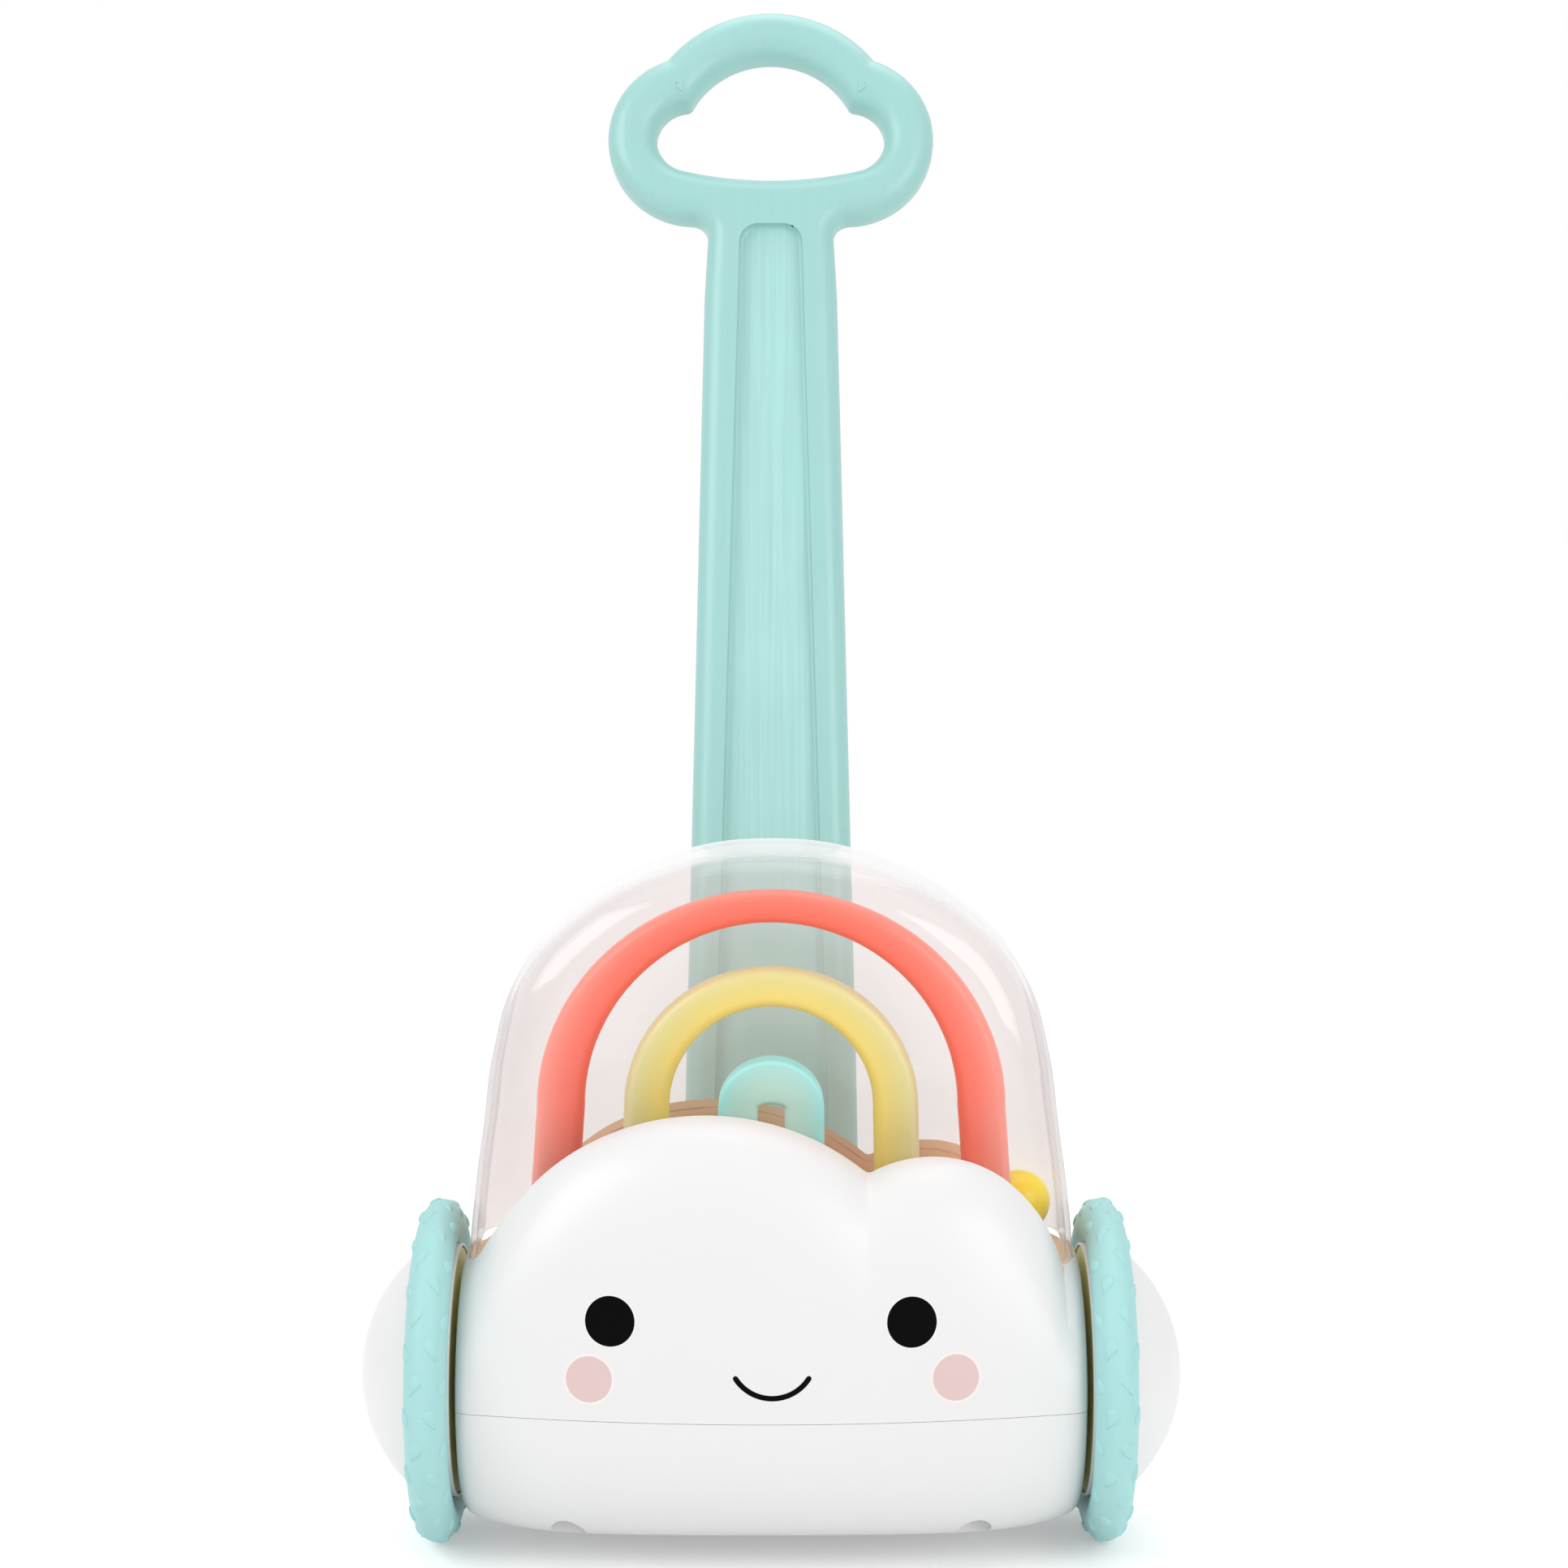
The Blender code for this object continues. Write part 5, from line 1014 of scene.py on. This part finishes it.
def smile():
    """A printed arc with round ends."""
    half, rise = SMILE_END[0] - SMILE_MIDDLE[0], SMILE_END[1] - SMILE_MIDDLE[1]
    radius = (half**2 + rise**2) / (2 * rise)
    centre = (SMILE_MIDDLE[0], SMILE_MIDDLE[1] + radius)
    reach = math.asin(half / radius)
    start, end = -math.pi / 2 - reach, -math.pi / 2 + reach
    tail, tip = arc(centre, radius, start, end, 1)
    outline = arc(centre, radius + SMILE_STROKE, start, end, 48)
    outline += arc(tip, SMILE_STROKE, end, end + math.pi, 8)[1:-1]
    outline += arc(centre, radius - SMILE_STROKE, end, start, 48)
    outline += arc(tail, SMILE_STROKE, start + math.pi, start + 2 * math.pi, 8)[1:-1]
    bm = raised(outline, ((1, INK_SUNK), (1, INK_HEIGHT)), on_front)
    bmesh.ops.triangulate(bm, faces=[face for face in bm.faces if len(face.verts) > 4])
    bmesh.ops.recalc_face_normals(bm, faces=bm.faces)
    return bm


piece("smile_print", smile(), "toy_body", BLACK, sharp=25)

# ---- Finishes of the solids that stay ----

KEPT = (
    (STEEL, ("axle", "axle_nut_left", "axle_nut_right", "paddle_pin", "roller_pin_left", "roller_pin_right",
             "handle_screw_left", "handle_screw_right", "base_screw_1", "base_screw_2", "base_screw_3",
             "base_screw_4")),
    (ACETAL, ("axle_bush_left", "axle_bush_right")),
    (DECK_PAINTED_SHADE, ("popper_deck",)),
    (COVER, ("popper_cam",)),
    (YELLOW, ("popper_paddle",)),
)
for finish, names in KEPT:
    for name in names:
        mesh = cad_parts[name].data
        mesh.materials.clear()
        mesh.materials.append(finish)

# ---- Floor, light and camera ----

def straight_rays(tree, strength):
    """A strength for what the camera sees, straight, mirrored or through glass, and 0 for other light."""
    path = add_node(tree, "ShaderNodeLightPath")
    mirrored_too = counted(tree, "MAXIMUM", path.outputs["Is Camera Ray"], path.outputs["Is Glossy Ray"])
    any_of = counted(tree, "MAXIMUM", mirrored_too, path.outputs["Is Transmission Ray"])
    return counted(tree, "MULTIPLY", any_of, strength)


# The floor's own light where it is only seen: share of the reach from its middle, and strength
LIFT_REACH = 4.0
LIFT = ((0, 0.26), (0.06, 0.26), (0.11, 0.12), (0.14, 0.1), (0.21, 0.16), (0.31, 0.255), (0.47, 0.345),
        (0.76, 0.41), (1, 0.43))

bm = bmesh.new()
bmesh.ops.create_grid(bm, x_segments=1, y_segments=1, size=12)
floor = mesh_object("floor", bm)
skin, tree, shader = nodes_for("floor_paper")
shader.inputs["Base Color"].default_value = (0.93, 0.93, 0.93, 1)
shader.inputs["Roughness"].default_value = 0.9
place = add_node(tree, "ShaderNodeTexCoord").outputs["Object"]
share = counted(tree, "DIVIDE", vectors(tree, "LENGTH", place), LIFT_REACH)
lift = ramp(tree, share, [(spot, (level, level, level)) for spot, level in LIFT])
glow = add_node(tree, "ShaderNodeEmission", Color=(1, 1, 1, 1), Strength=straight_rays(tree, lift))
paper = add_node(tree, "ShaderNodeAddShader", i0=shader.outputs[0], i1=glow.outputs[0])
tree.links.new(paper.outputs[0], tree.nodes["Material Output"].inputs["Surface"])
floor.data.materials.append(skin)

world = bpy.data.worlds.new("studio")
bpy.context.scene.world = world
world.use_nodes = True
tree = world.node_tree
ambient = tree.nodes["Background"]
ambient.inputs["Color"].default_value = (1, 1, 1, 1)
ambient.inputs["Strength"].default_value = 0.62
bright = add_node(tree, "ShaderNodeBackground", Color=(1, 1, 1, 1), Strength=1.0)
studio = layered(tree, straight_rays(tree, 1.0), ambient.outputs[0], bright.outputs[0])
tree.links.new(studio, tree.nodes["World Output"].inputs["Surface"])


def softbox(name, place, aim_height, size, power):
    light = bpy.data.lights.new(name, "AREA")
    light.shape = "RECTANGLE"
    light.size, light.size_y = size
    light.energy = power
    thing = bpy.data.objects.new(name, light)
    bpy.context.scene.collection.objects.link(thing)
    thing.location = place
    thing.rotation_euler = (Vector((0, 0, aim_height)) - Vector(place)).to_track_quat("-Z", "Y").to_euler()


softbox("key_softbox", (-1.3, -0.8, 1.2), 0.2, (1.1, 1.1), 12)
softbox("fill_softbox", (1.1, -1.2, 0.7), 0.2, (0.9, 1.2), 9)
softbox("top_softbox", (0.1, 0.3, 1.5), 0.15, (1.0, 1.0), 5.5)

# The frame, the lens and the sideways aim in the photograph's pixels, and the camera's place from the axle
FRAME_PIXELS, LENS_PIXELS, ASIDE_PIXELS = 1932, 3680, 16
CAMERA_PLACE, CAMERA_TILT = (0, -0.956, 0.29355), 84
lens = bpy.data.cameras.new("camera")
lens.sensor_width = 36
lens.lens = LENS_PIXELS * lens.sensor_width / FRAME_PIXELS
lens.clip_start = 0.05
camera = bpy.data.objects.new("camera", lens)
bpy.context.scene.collection.objects.link(camera)
camera.location = AXLE + Vector(CAMERA_PLACE)
camera.rotation_euler = (math.radians(CAMERA_TILT), 0, -math.atan(ASIDE_PIXELS / LENS_PIXELS))
bpy.context.scene.camera = camera

view = bpy.context.scene.view_settings
view.view_transform = "Standard"
